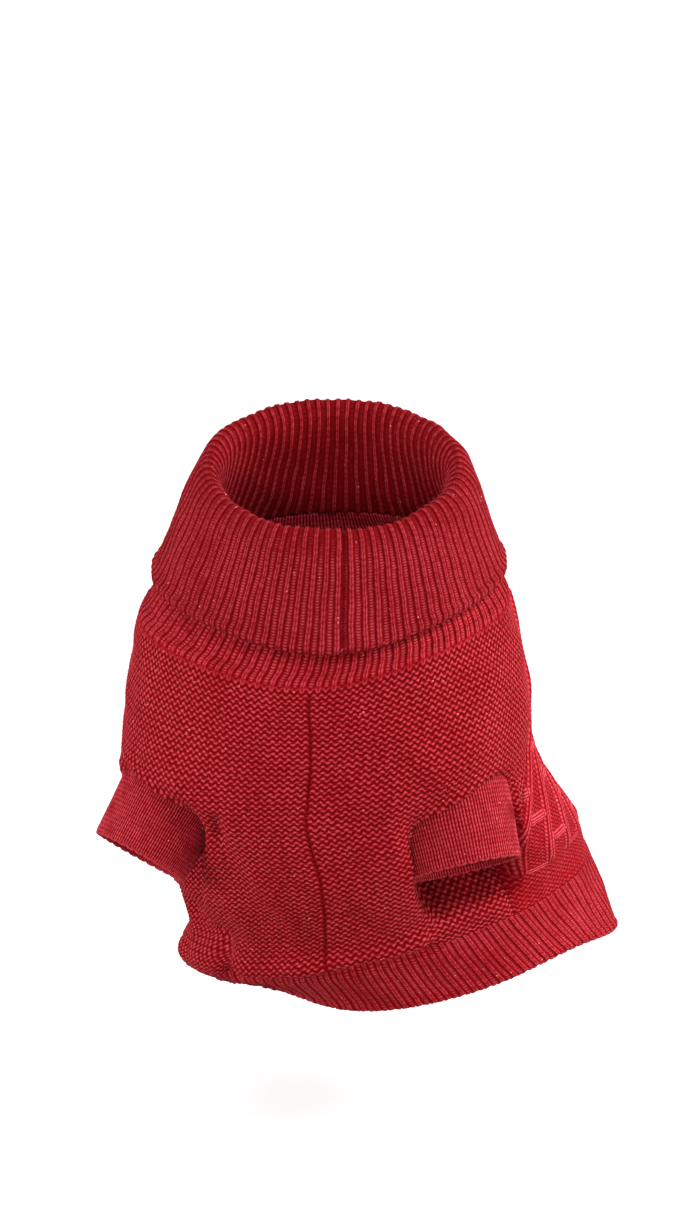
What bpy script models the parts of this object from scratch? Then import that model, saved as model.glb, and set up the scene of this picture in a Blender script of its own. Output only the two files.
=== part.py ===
"""A worn turtleneck dog sweater, held open in a sitting pose with no wearer inside.

Units are metres in the scene; the sizes below are millimetres and are multiplied by MM where a
vertex is made. +Z is up, the chest faces -Y, and the origin is the middle of the neck base,
where the wearer's neck and shoulders carry the garment.

Angles run round the garment in degrees: 0 is the centre-front seam, positive angles go towards
+X, which is the wearer's left, and 180 is the middle of the back.
"""

from collections import namedtuple

import bmesh
import bpy
import numpy as np

MM = 0.001

# ---- driving dimensions, in millimetres ----
CLOTH = 2.4  # thickness of the knitted wall
SEAM_GAP = 0.3  # clearance between two pieces that are sewn together
RIB_HEIGHT = 0.9  # how far a rib stands up from its furrow
CABLE_HEIGHT = 1.8  # how far an upright cable stands up from the purl ground
LINK_SHARE = 0.8  # a cross-link's height, as a share of an upright cable's
NECK_RIBS = 76  # ribs round the neck band and the collar
HEM_RIBS = 96  # ribs round the hem
CABLES = 18  # upright cables across the back
CABLE_STEPS = 9  # rows of cross-links down the back, set in brick order
THIRDS = 3  # columns of points to a cable, and rows to a step
ARMPIT_CLEARANCE = 3.0  # between a sleeve and the torso behind it
ARMHOLE_CLEARANCE = 0.4  # between a sleeve and the edge of its armhole
SLEEVE_TUCK = 7.0  # how far a sleeve reaches up inside its armhole
SLEEVE_SIDES = 32  # flat sides round a sleeve
CHEST_COLUMNS = 18  # columns of points across a front half
RED = (0.34, 0.015, 0.022)

# ---- the body: one section for each level, from the neck down ----
# level: place along the garment; cx, cy, cz: the section's centre; half_width, half_depth: its half
# axes; tilt: how far its front is tipped down; turn: how far its front faces +X; roll: how far its
# +X side is lifted, these three in degrees; dip: how far the middle of its front is drawn down.
Section = namedtuple("Section", "level cx cy cz half_width half_depth tilt turn roll dip")
BODY = (
    Section(-2.0, 0.0, 3.5, 26.5, 72.0, 63.5, 13.0, -2.0, 2.0, 9.0),
    Section(-1.0, -0.5, 1.8, 17.0, 79.5, 68.0, 12.7, -3.5, 3.0, 8.5),
    Section(0.0, -1.5, 0.0, 7.5, 84.5, 72.0, 12.0, -5.0, 3.0, 8.0),
    Section(1.0, -0.5, 9.0, -34.0, 91.5, 80.5, 8.6, -5.0, 4.0, 1.5),
    Section(2.0, 1.5, 19.0, -70.0, 92.5, 86.0, 5.0, -7.0, 5.5, 0.0),
    Section(3.0, 17.0, 35.0, -103.0, 92.5, 94.0, 3.0, -12.0, 8.5, 0.0),
    Section(4.0, 26.0, 52.0, -125.0, 92.0, 98.0, 4.5, -16.0, 12.0, 0.0),
    Section(5.0, 31.0, 67.0, -145.0, 92.5, 98.0, 5.5, -18.0, 13.5, 0.0),
    Section(6.0, 38.5, 82.0, -181.0, 100.0, 95.0, 0.5, -20.0, 12.5, 0.0),
)
NECK_TOP, NECK_BASE, HEM_TOP, HEM_EDGE = -2.0, 0.0, 5.0, 6.0

# ---- the collar: up the inner stand, over the fold and down the outer flap ----
COLLAR = (
    Section(0.0, 0.2, 3.6, 26.9, 69.6, 61.1, 13.0, 0.0, 2.0, 9.0),
    Section(1.0, 1.2, 5.4, 36.5, 61.5, 57.0, 15.5, 0.0, 1.4, 6.0),
    Section(2.0, 2.4, 8.8, 54.0, 53.5, 52.5, 19.0, 0.0, 0.6, 1.5),
    Section(3.0, 2.8, 11.0, 66.5, 51.5, 52.0, 20.0, 0.0, 0.0, 0.0),
    Section(4.0, 2.8, 12.0, 72.5, 56.5, 57.0, 20.5, 0.0, 0.0, 0.0),
    Section(5.0, 2.8, 11.5, 67.5, 62.5, 62.5, 20.0, 0.0, 0.3, 0.5),
    Section(6.0, 2.4, 9.5, 56.5, 67.5, 65.5, 18.0, 0.0, 0.8, 2.5),
    Section(7.0, 1.6, 7.0, 41.5, 73.5, 69.0, 14.5, 0.0, 1.2, 5.5),
    Section(8.0, 0.8, 4.0, 26.0, 79.5, 73.0, 12.0, 0.0, 1.6, 8.5),
)
STAND_FOOT, FLAP_EDGE = 0.0, 8.0
DIP_REACH = 34.0  # how far from the middle a dip spreads, in degrees

# ---- where the front halves end and the back begins, as an angle at each level ----
# left, right: on the wearer's left and right; the belly is worn turned a little to the right.
SideLine = namedtuple("SideLine", "level left right")
SIDE_LINE = (
    SideLine(0.0, 100.0, 100.0),
    SideLine(1.0, 98.0, 98.0),
    SideLine(1.6, 90.0, 93.0),
    SideLine(2.2, 76.0, 84.0),
    SideLine(3.0, 61.0, 77.0),
    SideLine(4.0, 57.0, 75.0),
    SideLine(5.0, 56.0, 74.0),
)

# ---- folds and swellings of the body: each is a soft hill, or a trough where height is below 0 ----
# level, angle: where it lies; level_reach, angle_reach: how far it spreads; height: how far it
# stands out from the body; lift: how far it is drawn up.
Fold = namedtuple("Fold", "level angle level_reach angle_reach height lift")
FOLDS = (
    Fold(1.5, 46.0, 0.5, 24.0, 3.0, 0.0),
    Fold(1.5, -50.0, 0.5, 24.0, 4.0, 0.0),
    Fold(4.85, -66.0, 0.5, 28.0, 10.0, 0.0),
    Fold(4.1, -46.0, 0.30, 14.0, -7.0, 0.0),
    Fold(4.9, 0.0, 0.45, 34.0, 5.0, 4.5),
    Fold(6.2, -60.0, 0.8, 38.0, -10.0, 15.0),
    Fold(6.2, -22.0, 0.7, 22.0, -4.0, 7.0),
    Fold(6.1, 70.0, 0.6, 24.0, 0.0, 6.0),
)

# ---- the two short sleeves ----
# armhole, cuff: the centres of the two ends; facing: the way that the armhole looks; outward: the
# way that the wider axis points; half_width, half_depth: the outer half axes at the armhole;
# cuff_share: the cuff's size, as a share of the armhole's; inward: the way that the body is pushed.
Sleeve = namedtuple(
    "Sleeve", "name armhole cuff facing outward half_width half_depth cuff_share inward"
)
SLEEVES = (
    Sleeve("sleeve_left", (53.5, -25.6, -72.4), (61.0, -36.6, -102.9), (0.38, -0.35, -0.86),
           (0.946, 0.27, 0.175), 29.0, 24.0, 0.93, (-0.35, 0.94, 0.0)),
    Sleeve("sleeve_right", (-67.0, -10.0, -72.0), (-84.5, -20.0, -101.5), (-0.52, -0.35, -0.78),
           (-0.74, 0.576, 0.34), 26.0, 23.5, 0.90, (0.50, 0.86, 0.0)),
)


def cubic(places, values, at):
    """Values of a smooth curve through (places, values), read at each place in at."""
    places, values = np.asarray(places, float), np.asarray(values, float)
    slope = np.gradient(values, places)
    at = np.asarray(at, float)
    i = np.clip(np.searchsorted(places, at, side="right") - 1, 0, len(places) - 2)
    step = places[i + 1] - places[i]
    t = (at - places[i]) / step
    start = (1 + 2 * t) * (1 - t) ** 2 * values[i] + t * (1 - t) ** 2 * step * slope[i]
    end = t * t * (3 - 2 * t) * values[i + 1] + t * t * (t - 1) * step * slope[i + 1]
    return start + end


def column(rows, name, at):
    """One named column of a table, read between its rows."""
    return cubic([row.level for row in rows], [getattr(row, name) for row in rows], at)


def ring_surface(rows, level, angle):
    """Points of the lofted surface through a table of sections."""
    level, angle = np.broadcast_arrays(np.asarray(level, float), np.asarray(angle, float))
    tilt, turn, roll = (np.radians(column(rows, name, level)) for name in ("tilt", "turn", "roll"))
    side = np.stack([np.cos(turn) * np.cos(roll), np.sin(turn) * np.cos(roll), np.sin(roll)], -1)
    front = np.stack([np.sin(turn) * np.cos(tilt), -np.cos(turn) * np.cos(tilt), -np.sin(tilt)], -1)
    centre = np.stack([column(rows, name, level) for name in ("cx", "cy", "cz")], -1)
    across = column(rows, "half_width", level) * np.sin(np.radians(angle))
    forward = column(rows, "half_depth", level) * np.cos(np.radians(angle))
    aside = (angle + 180.0) % 360.0 - 180.0
    dip = column(rows, "dip", level) * np.exp(-((aside / DIP_REACH) ** 2))
    points = centre + side * across[..., None] + front * forward[..., None]
    return points - np.array([0.0, 0.0, 1.0]) * dip[..., None]


def surface_normal(surface, level, angle, level_step=0.02, angle_step=0.5):
    """Unit normals of a surface, out of the face that shows."""
    along = surface(level + level_step, angle) - surface(level - level_step, angle)
    round_it = surface(level, angle + angle_step) - surface(level, angle - angle_step)
    normal = np.cross(along, round_it)
    return normal / np.linalg.norm(normal, axis=-1, keepdims=True)


def smooth_step(low, high, x):
    """0 at low, 1 at high, and a smooth rise between; low may be the larger one."""
    t = np.clip((x - low) / (high - low), 0.0, 1.0)
    return t * t * (3 - 2 * t)


def soft_max(a, b, rounding):
    """The larger of a and b, with the corner between them rounded."""
    return (a + b + np.sqrt((a - b) ** 2 + rounding**2)) / 2


def unit(vector):
    return np.asarray(vector, float) / np.linalg.norm(vector)


def sleeve_length(sleeve):
    return np.linalg.norm(np.subtract(sleeve.cuff, sleeve.armhole))


def sleeve_axes(sleeve):
    """(down, outward, across) unit vectors of a sleeve."""
    down = unit(np.subtract(sleeve.cuff, sleeve.armhole))
    outward = np.asarray(sleeve.outward, float)
    outward = unit(outward - down * (outward @ down))
    return down, outward, np.cross(outward, down)


def pushed_clear_of(sleeve, points):
    """Points of the body, pushed back where the sleeve hangs before them."""
    full_width, no_width = 16.0, 42.0
    shelf_start, shelf_end = -4.0, 26.0
    fade_start, fade_end = 38.0, 70.0
    reach, rounding = 60.0, 12.0
    facing, inward = unit(sleeve.facing), unit(sleeve.inward)
    lateral = unit(np.cross(facing, inward))
    offset = points - np.asarray(sleeve.armhole)
    along, aside, deep = offset @ facing, offset @ lateral, offset @ inward
    beside = smooth_step(no_width, full_width, np.abs(aside))
    below = smooth_step(shelf_start, shelf_end, along) * smooth_step(fade_end, fade_start, along)
    needed = -reach + (reach + sleeve.half_depth + ARMPIT_CLEARANCE) * beside * below
    pushed = soft_max(deep, needed, rounding) - soft_max(deep, -reach, rounding)
    return points + inward * pushed[..., None]


def plain_body(level, angle):
    """The body without its folds."""
    points = ring_surface(BODY, level, angle)
    for sleeve in SLEEVES:
        points = pushed_clear_of(sleeve, points)
    return points


def body(level, angle):
    """The outer face of the neck band, the torso and the hem."""
    level, angle = np.broadcast_arrays(np.asarray(level, float), np.asarray(angle, float))
    height, lift = np.zeros_like(level), np.zeros_like(level)
    for fold in FOLDS:
        along = (level - fold.level) / fold.level_reach
        aside = ((angle - fold.angle + 180.0) % 360.0 - 180.0) / fold.angle_reach
        hill = np.exp(-(along**2) - aside**2)
        height = height + fold.height * hill
        lift = lift + fold.lift * hill
    normal = surface_normal(plain_body, level, angle)
    upward = np.array([0.0, 0.0, 1.0])
    return plain_body(level, angle) + normal * height[..., None] + upward * lift[..., None]


def collar(level, angle):
    """The collar's face that shows: inside the stand, over the fold and outside the flap."""
    return ring_surface(COLLAR, level, angle)


def sleeve_surface(sleeve, wider=0.0):
    """The outer face of a sleeve; its levels are millimetres down from the armhole."""
    down, outward, across = sleeve_axes(sleeve)

    def surface(level, angle):
        level, angle = np.broadcast_arrays(np.asarray(level, float), np.radians(angle))
        share = 1.0 + (sleeve.cuff_share - 1.0) * level / sleeve_length(sleeve)
        reach_out = (sleeve.half_width * share + wider) * np.cos(angle)
        reach_over = (sleeve.half_depth * share + wider) * np.sin(angle)
        centre = np.asarray(sleeve.armhole) + down * level[..., None]
        return centre + outward * reach_out[..., None] + across * reach_over[..., None]

    return surface


def plain(level, angle):
    return np.zeros(np.shape(angle))


def ribs(count):
    """The relief of count ribs, read where a crest or a furrow lies."""
    def height(level, angle):
        return RIB_HEIGHT / 2 * np.cos(np.radians(angle) * count)
    return height


def levels_by_length(surface, start, end, count, angle):
    """Levels that lie evenly spaced along a surface, at the angle given."""
    fine = np.linspace(start, end, 200)
    steps = np.linalg.norm(np.diff(surface(fine, angle), axis=0), axis=1)
    length = np.concatenate([[0.0], np.cumsum(steps)])
    return np.interp(np.linspace(0.0, length[-1], count), length, fine)


def grid_faces(bm, rows, closed):
    """Faces between each row of vertices and the next; closed rows join their ends."""
    for upper, lower in zip(rows, rows[1:]):
        count = len(upper)
        for i in range(count if closed else count - 1):
            j = (i + 1) % count
            bm.faces.new((upper[i], lower[i], lower[j], upper[j]))


def rim_faces(bm, fine, coarse, closed):
    """The strip between a fine edge and a coarse one."""
    ratio = len(fine) // len(coarse) if closed else (len(fine) - 1) // (len(coarse) - 1)
    for i in range(len(coarse) if closed else len(coarse) - 1):
        here, there = coarse[i], coarse[(i + 1) % len(coarse)]
        edge = [fine[(i * ratio + k) % len(fine)] for k in range(ratio + 1)]
        turn_over = (ratio + 1) // 2
        for k in range(ratio):
            bm.faces.new((edge[k], edge[k + 1], here if k < turn_over else there))
        bm.faces.new((edge[turn_over], there, here))


def wall(name, surface, levels, angles, relief, material, collection, closed=True, ratio=1):
    """A wall whose shown face is raised by relief over a plain hidden face.

    angles holds a row of angles for each level. The hidden face lies CLOTH behind the surface and
    keeps one column in every ratio.
    """
    bm = bmesh.new()
    shown, hidden = [], []
    for level, row in zip(levels, angles):
        base, normal = surface(level, row), surface_normal(surface, level, row)
        raised = base + normal * np.asarray(relief(level, row))[:, None]
        backed = (base - normal * CLOTH)[::ratio]
        shown.append([bm.verts.new(point * MM) for point in raised])
        hidden.append([bm.verts.new(point * MM) for point in backed])
    grid_faces(bm, shown, closed)
    grid_faces(bm, hidden, closed)
    for end in (0, -1):
        rim_faces(bm, shown[end], hidden[end], closed)
        if not closed:
            grid_faces(bm, [[row[end] for row in shown], [row[end] for row in hidden]], closed)
    bmesh.ops.recalc_face_normals(bm, faces=bm.faces)
    return mesh_object(name, bm, material, collection)


def mesh_object(name, bm, material, collection):
    mesh = bpy.data.meshes.new(name)
    bm.to_mesh(mesh)
    bm.free()
    mesh.shade_smooth()
    mesh.set_sharp_from_angle(angle=np.radians(40))
    mesh.materials.append(material)
    obj = bpy.data.objects.new(name, mesh)
    collection.objects.link(obj)
    return obj


def even_angles(count):
    return np.arange(count) * 360.0 / count


def ribbed_ring(name, surface, levels, count, material, collection):
    """A closed ring of count ribs."""
    angles = [even_angles(2 * count)] * len(levels)
    return wall(name, surface, levels, angles, ribs(count), material, collection, ratio=4)


def build_collar(material, collection):
    close_to_the_fold = [1.2, 2.4, 3.2, 3.7, 4.2, 4.8, 6.0]
    levels = [STAND_FOOT, *close_to_the_fold, FLAP_EDGE]
    return ribbed_ring("collar", collar, levels, NECK_RIBS, material, collection)


def build_neck_band(material, collection):
    levels = np.linspace(NECK_TOP, NECK_BASE, 3)
    return ribbed_ring("neck_band", body, levels, NECK_RIBS, material, collection)


def build_hem_band(material, collection):
    levels = np.linspace(HEM_TOP, HEM_EDGE, 3)
    return ribbed_ring("hem_band", body, levels, HEM_RIBS, material, collection)


def panel_levels():
    """Levels of the body panels, clear of both bands; the hem's gap is wider where it slants."""
    levels = levels_by_length(body, NECK_BASE, HEM_TOP, THIRDS * CABLE_STEPS + 1, 180.0)
    reach = np.linalg.norm(body(HEM_TOP, 180.0) - body(NECK_BASE, 180.0)) / (HEM_TOP - NECK_BASE)
    gap = SEAM_GAP / reach
    return np.clip(levels, NECK_BASE + gap, HEM_TOP - 3 * gap)


def seam_angle():
    """Half of a seam gap, as an angle round the neck base."""
    neck_base = next(row for row in BODY if row.level == NECK_BASE)
    return np.degrees(SEAM_GAP / 2 / neck_base.half_depth)


def build_chest(name, side, material, collection):
    """A front half: side is left or right, as the wearer has it."""
    levels = panel_levels()
    towards = 1 if side == "left" else -1
    angles = []
    for level in levels:
        reach = column(SIDE_LINE, side, level)
        angles.append(towards * np.linspace(seam_angle(), reach - seam_angle(), CHEST_COLUMNS))
    return wall(name, body, levels, angles, plain, material, collection, closed=False)


def back_edges(level):
    """The angles where the back starts and ends, at one level."""
    left, right = (column(SIDE_LINE, side, level) + seam_angle() for side in ("left", "right"))
    return left, 360.0 - right


def cable_relief(levels):
    """Upright cables with cross-links between them in brick order, on a lower ground.

    Each cable has THIRDS columns of points and each step has as many rows, so the first column of
    a cable is the crest when the count starts a third of a cable in.
    """
    def crest(place):
        return np.clip(1.0 - THIRDS * np.abs(place - np.round(place)), 0.0, 1.0)

    def height(level, angle):
        start, end = back_edges(level)
        place = (angle - start) / (end - start) * CABLES - 1.0 / THIRDS
        step = np.interp(level, levels, np.linspace(0.0, CABLE_STEPS, len(levels)))
        linked = (np.floor(place + 1e-6) + np.round(step)) % 2 == 0
        return CABLE_HEIGHT * np.maximum(crest(place), LINK_SHARE * crest(step) * linked)
    return height


def build_back(material, collection):
    levels = panel_levels()
    angles = []
    for level in levels:
        start, end = back_edges(level)
        angles.append(np.linspace(start, end, THIRDS * CABLES + 1))
    return wall("back_panel", body, levels, angles, cable_relief(levels), material, collection,
                closed=False, ratio=THIRDS)


def build_sleeve(sleeve, material, collection):
    levels = np.linspace(-SLEEVE_TUCK, sleeve_length(sleeve), 4)
    angles = [even_angles(SLEEVE_SIDES)] * len(levels)
    return wall(sleeve.name, sleeve_surface(sleeve), levels, angles, plain, material, collection)


def cut_armhole(panel, sleeve, collection):
    """Cut a panel where a sleeve passes through it."""
    beyond = 3.0
    surface = sleeve_surface(sleeve, wider=ARMHOLE_CLEARANCE)
    ends = (-SLEEVE_TUCK - beyond, sleeve_length(sleeve) + beyond)
    bm = bmesh.new()
    around = even_angles(SLEEVE_SIDES)
    rows = [[bm.verts.new(point * MM) for point in surface(level, around)] for level in ends]
    grid_faces(bm, rows, closed=True)
    for row in rows:
        bm.faces.new(row)
    bmesh.ops.recalc_face_normals(bm, faces=bm.faces)
    mesh = bpy.data.meshes.new("armhole")
    bm.to_mesh(mesh)
    bm.free()
    cutter = bpy.data.objects.new(f"armhole_{sleeve.name}_{panel.name}", mesh)
    cutter.hide_render = True
    cutter.display_type = "WIRE"
    collection.objects.link(cutter)
    cut = panel.modifiers.new(cutter.name, "BOOLEAN")
    cut.operation = "DIFFERENCE"
    cut.solver = "EXACT"
    cut.object = cutter


def knit_material(name, roughness):
    """The red wool of one piece."""
    material = bpy.data.materials.new(name)
    material.use_nodes = True
    shader = material.node_tree.nodes["Principled BSDF"]
    shader.inputs["Base Color"].default_value = (*RED, 1.0)
    shader.inputs["Roughness"].default_value = roughness
    shader.inputs["Metallic"].default_value = 0.0
    return material


def clear_scene():
    for obj in list(bpy.data.objects):
        bpy.data.objects.remove(obj)


def main():
    clear_scene()
    parts = bpy.data.collections.new("dog_sweater")
    cutters = bpy.data.collections.new("cutters")
    for collection in (parts, cutters):
        bpy.context.scene.collection.children.link(collection)

    build_collar(knit_material("collar_rib", 0.85), parts)
    build_neck_band(knit_material("neck_rib", 0.85), parts)
    build_hem_band(knit_material("hem_rib", 0.85), parts)
    chest_left = build_chest("chest_left", "left", knit_material("chest_left_purl", 0.9), parts)
    chest_right = build_chest("chest_right", "right", knit_material("chest_right_purl", 0.9), parts)
    back = build_back(knit_material("back_cable", 0.9), parts)
    sleeve_left, sleeve_right = SLEEVES
    for sleeve, chest in ((sleeve_left, chest_left), (sleeve_right, chest_right)):
        build_sleeve(sleeve, knit_material(f"{sleeve.name}_plain", 0.9), parts)
        for panel in (chest, back):
            cut_armhole(panel, sleeve, cutters)


if __name__ == "__main__":
    main()
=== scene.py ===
"""Dress the worn turtleneck dog sweater: its knitted walls, its seams and the studio round it.

Sizes are millimetres until a vertex is written, and angles are degrees. +Z is up, the chest faces
-Y, and the origin is the middle of the neck base. Angles run round the garment from the
centre-front seam, positive towards +X, which is the wearer's left. Levels run down it: from the
neck band's top to the hem's edge on the body, from the stand to the flap on the collar, and in
millimetres from the armhole on a sleeve.
"""

import logging
import math
from collections.abc import Callable
from dataclasses import dataclass
from enum import Enum

import bmesh
import bpy
import numpy as np
from bpy.types import ID, Material, Mesh, Node, NodeSocket, NodeTree, Object
from mathutils import Matrix, Vector

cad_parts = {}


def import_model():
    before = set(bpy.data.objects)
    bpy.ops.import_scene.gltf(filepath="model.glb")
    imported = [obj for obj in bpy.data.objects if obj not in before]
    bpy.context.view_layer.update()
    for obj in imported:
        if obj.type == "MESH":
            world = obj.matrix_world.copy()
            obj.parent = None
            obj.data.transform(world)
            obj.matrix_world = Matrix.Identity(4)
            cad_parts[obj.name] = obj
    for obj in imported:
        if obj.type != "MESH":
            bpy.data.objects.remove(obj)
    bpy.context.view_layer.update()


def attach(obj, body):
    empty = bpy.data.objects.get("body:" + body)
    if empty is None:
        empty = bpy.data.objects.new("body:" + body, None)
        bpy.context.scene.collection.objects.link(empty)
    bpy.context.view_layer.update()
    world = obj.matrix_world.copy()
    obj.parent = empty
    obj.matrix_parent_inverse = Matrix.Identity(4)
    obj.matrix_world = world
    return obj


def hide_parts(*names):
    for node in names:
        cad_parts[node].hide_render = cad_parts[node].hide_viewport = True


LOG = logging.getLogger("dog_sweater")

MM = 0.001
KNIT_MAP = "knit"
BODY_NAME = "root"
UPWARD = np.array([0.0, 0.0, 1.0])
WHITE = (1.0, 1.0, 1.0, 1.0)

Array = np.ndarray
Triple = tuple[float, float, float]
Surface = Callable[[Array, Array], Array]
Groove = tuple[Array, float, float]  # each point's distance from it, its height and its reach


# --- Forms: the surfaces that the cloth lies on ----------------------------------------------


@dataclass(frozen=True)
class Section:
    """One ring of a lofted form: its centre, its half axes, how it is tipped and how it dips."""

    level: float
    cx: float
    cy: float
    cz: float
    half_width: float
    half_depth: float
    tilt: float
    turn: float
    roll: float
    dip: float


@dataclass(frozen=True)
class Fold:
    """A soft hill on the body, or a trough where height is below 0."""

    level: float
    angle: float
    level_reach: float
    angle_reach: float
    height: float
    lift: float = 0.0


@dataclass(frozen=True)
class SidePoint:
    """Where the front ends and the back begins on each side of the wearer, at one level."""

    level: float
    left: float
    right: float


def unit(vector: Array) -> Array:
    """A vector of length 1."""
    vector = np.asarray(vector, float)
    return vector / np.linalg.norm(vector)


def as_grid(level: Array, angle: Array) -> tuple[Array, ...]:
    """Levels and angles as arrays of one shape."""
    return tuple(np.broadcast_arrays(np.asarray(level, float), np.asarray(angle, float)))


def wrapped(angle: Array) -> Array:
    """An angle brought between -180 and 180."""
    return (angle + 180.0) % 360.0 - 180.0


def hill(distance: Array, reach: float) -> Array:
    """1 where the distance is 0, falling off softly over the reach."""
    return np.exp(-((distance / reach) ** 2))


def smooth_step(low: float, high: float, x: Array) -> Array:
    """0 at low, 1 at high and a smooth rise between; low may be the larger one."""
    t = np.clip((x - low) / (high - low), 0.0, 1.0)
    return t * t * (3 - 2 * t)


def soft_max(a: Array, b: Array, rounding: float) -> Array:
    """The larger of a and b, with the corner between them rounded."""
    return (a + b + np.sqrt((a - b) ** 2 + rounding**2)) / 2


def cubic(places: Array, values: Array, at: Array) -> Array:
    """Read a smooth curve.

    Args:
        places: Where its values are given, in rising order.
        values: Its values there.
        at: Where it is read.

    Returns:
        One value for each place in at.
    """
    places, values = np.asarray(places, float), np.asarray(values, float)
    slope = np.gradient(values, places)
    at = np.asarray(at, float)
    i = np.clip(np.searchsorted(places, at, side="right") - 1, 0, len(places) - 2)
    step = places[i + 1] - places[i]
    t = (at - places[i]) / step
    start = (1 + 2 * t) * (1 - t) ** 2 * values[i] + t * (1 - t) ** 2 * step * slope[i]
    end = t * t * (3 - 2 * t) * values[i + 1] + t * t * (t - 1) * step * slope[i + 1]
    return start + end


def surface_normal(surface: Surface, level: Array, angle: Array) -> Array:
    """Which way a surface faces, out of the face that shows.

    Args:
        surface: The surface.
        level: Places along it.
        angle: Places round it.

    Returns:
        A unit vector for each level and angle.
    """
    level_step, angle_step = 0.02, 0.5
    along = surface(level + level_step, angle) - surface(level - level_step, angle)
    across = surface(level, angle + angle_step) - surface(level, angle - angle_step)
    normal = np.cross(along, across)
    return normal / np.linalg.norm(normal, axis=-1, keepdims=True)


@dataclass(frozen=True)
class Loft:
    """A surface lofted through a table of sections."""

    rows: tuple[Section, ...]
    dip_reach: float = 34.0

    def column(self, name: str, at: Array) -> Array:
        """One named column of the table, read between its rows."""
        places = [row.level for row in self.rows]
        return cubic(places, [getattr(row, name) for row in self.rows], at)

    def __call__(self, level: Array, angle: Array) -> Array:
        """Points of the surface.

        Args:
            level: Places along the garment.
            angle: Places round it.

        Returns:
            One point for each level and angle.
        """
        level, angle = as_grid(level, angle)
        tilt, turn, roll = (np.radians(self.column(n, level)) for n in ("tilt", "turn", "roll"))
        side = np.stack(
            [np.cos(turn) * np.cos(roll), np.sin(turn) * np.cos(roll), np.sin(roll)], -1
        )
        front = np.stack(
            [np.sin(turn) * np.cos(tilt), -np.cos(turn) * np.cos(tilt), -np.sin(tilt)], -1
        )
        centre = np.stack([self.column(n, level) for n in ("cx", "cy", "cz")], -1)
        across = self.column("half_width", level) * np.sin(np.radians(angle))
        forward = self.column("half_depth", level) * np.cos(np.radians(angle))
        dip = self.column("dip", level) * hill(wrapped(angle), self.dip_reach)
        points = centre + side * across[..., None] + front * forward[..., None]
        return points - UPWARD * dip[..., None]


@dataclass(frozen=True)
class SleeveForm:
    """The tube of one short sleeve."""

    name: str
    armhole: Triple
    cuff: Triple
    facing: Triple
    outward: Triple
    inward: Triple
    half_width: float
    half_depth: float
    cuff_share: float
    tuck: float = 7.0

    @property
    def length(self) -> float:
        """The sleeve's length from the armhole to the cuff."""
        return float(np.linalg.norm(np.subtract(self.cuff, self.armhole)))

    def axes(self) -> tuple[Array, Array, Array]:
        """Unit vectors down the sleeve, along its wide axis and along its narrow one."""
        down = unit(np.subtract(self.cuff, self.armhole))
        outward = np.asarray(self.outward, float)
        outward = unit(outward - down * (outward @ down))
        return down, outward, np.cross(outward, down)

    def __call__(self, level: Array, angle: Array) -> Array:
        """Points of the tube, one for each level and angle."""
        down, outward, across = self.axes()
        level, angle = as_grid(level, np.radians(angle))
        share = 1.0 + (self.cuff_share - 1.0) * level / self.length
        reach_out = self.half_width * share * np.cos(angle)
        reach_over = self.half_depth * share * np.sin(angle)
        centre = np.asarray(self.armhole) + down * level[..., None]
        return centre + outward * reach_out[..., None] + across * reach_over[..., None]


@dataclass(frozen=True)
class BodyForm:
    """The outer face of the neck band, the torso and the hem."""

    sections: Loft
    folds: tuple[Fold, ...]
    sleeves: tuple[SleeveForm, ...]
    armpit_clearance: float = 3.0

    def pushed_clear_of(self, sleeve: SleeveForm, points: Array) -> Array:
        """Push the body back where a sleeve hangs before it.

        Args:
            sleeve: The sleeve.
            points: Points of the body.

        Returns:
            The points in their new places.
        """
        full_width, no_width = 16.0, 42.0
        shelf_start, shelf_end = -4.0, 26.0
        fade_start, fade_end = 38.0, 70.0
        reach, rounding = 60.0, 12.0
        facing, inward = unit(sleeve.facing), unit(sleeve.inward)
        lateral = unit(np.cross(facing, inward))
        offset = points - np.asarray(sleeve.armhole)
        along, aside, deep = offset @ facing, offset @ lateral, offset @ inward
        beside = smooth_step(no_width, full_width, np.abs(aside))
        below = smooth_step(shelf_start, shelf_end, along) * smooth_step(fade_end, fade_start, along)
        needed = -reach + (reach + sleeve.half_depth + self.armpit_clearance) * beside * below
        pushed = soft_max(deep, needed, rounding) - soft_max(deep, -reach, rounding)
        return points + inward * pushed[..., None]

    def plain(self, level: Array, angle: Array) -> Array:
        """The body without its folds."""
        points = self.sections(level, angle)
        for sleeve in self.sleeves:
            points = self.pushed_clear_of(sleeve, points)
        return points

    def __call__(self, level: Array, angle: Array) -> Array:
        """Points of the body, one for each level and angle."""
        level, angle = as_grid(level, angle)
        height, lift = np.zeros_like(level), np.zeros_like(level)
        for fold in self.folds:
            along = (level - fold.level) / fold.level_reach
            aside = wrapped(angle - fold.angle) / fold.angle_reach
            share = np.exp(-(along**2) - aside**2)
            height = height + fold.height * share
            lift = lift + fold.lift * share
        normal = surface_normal(self.plain, level, angle)
        return self.plain(level, angle) + normal * height[..., None] + UPWARD * lift[..., None]


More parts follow.
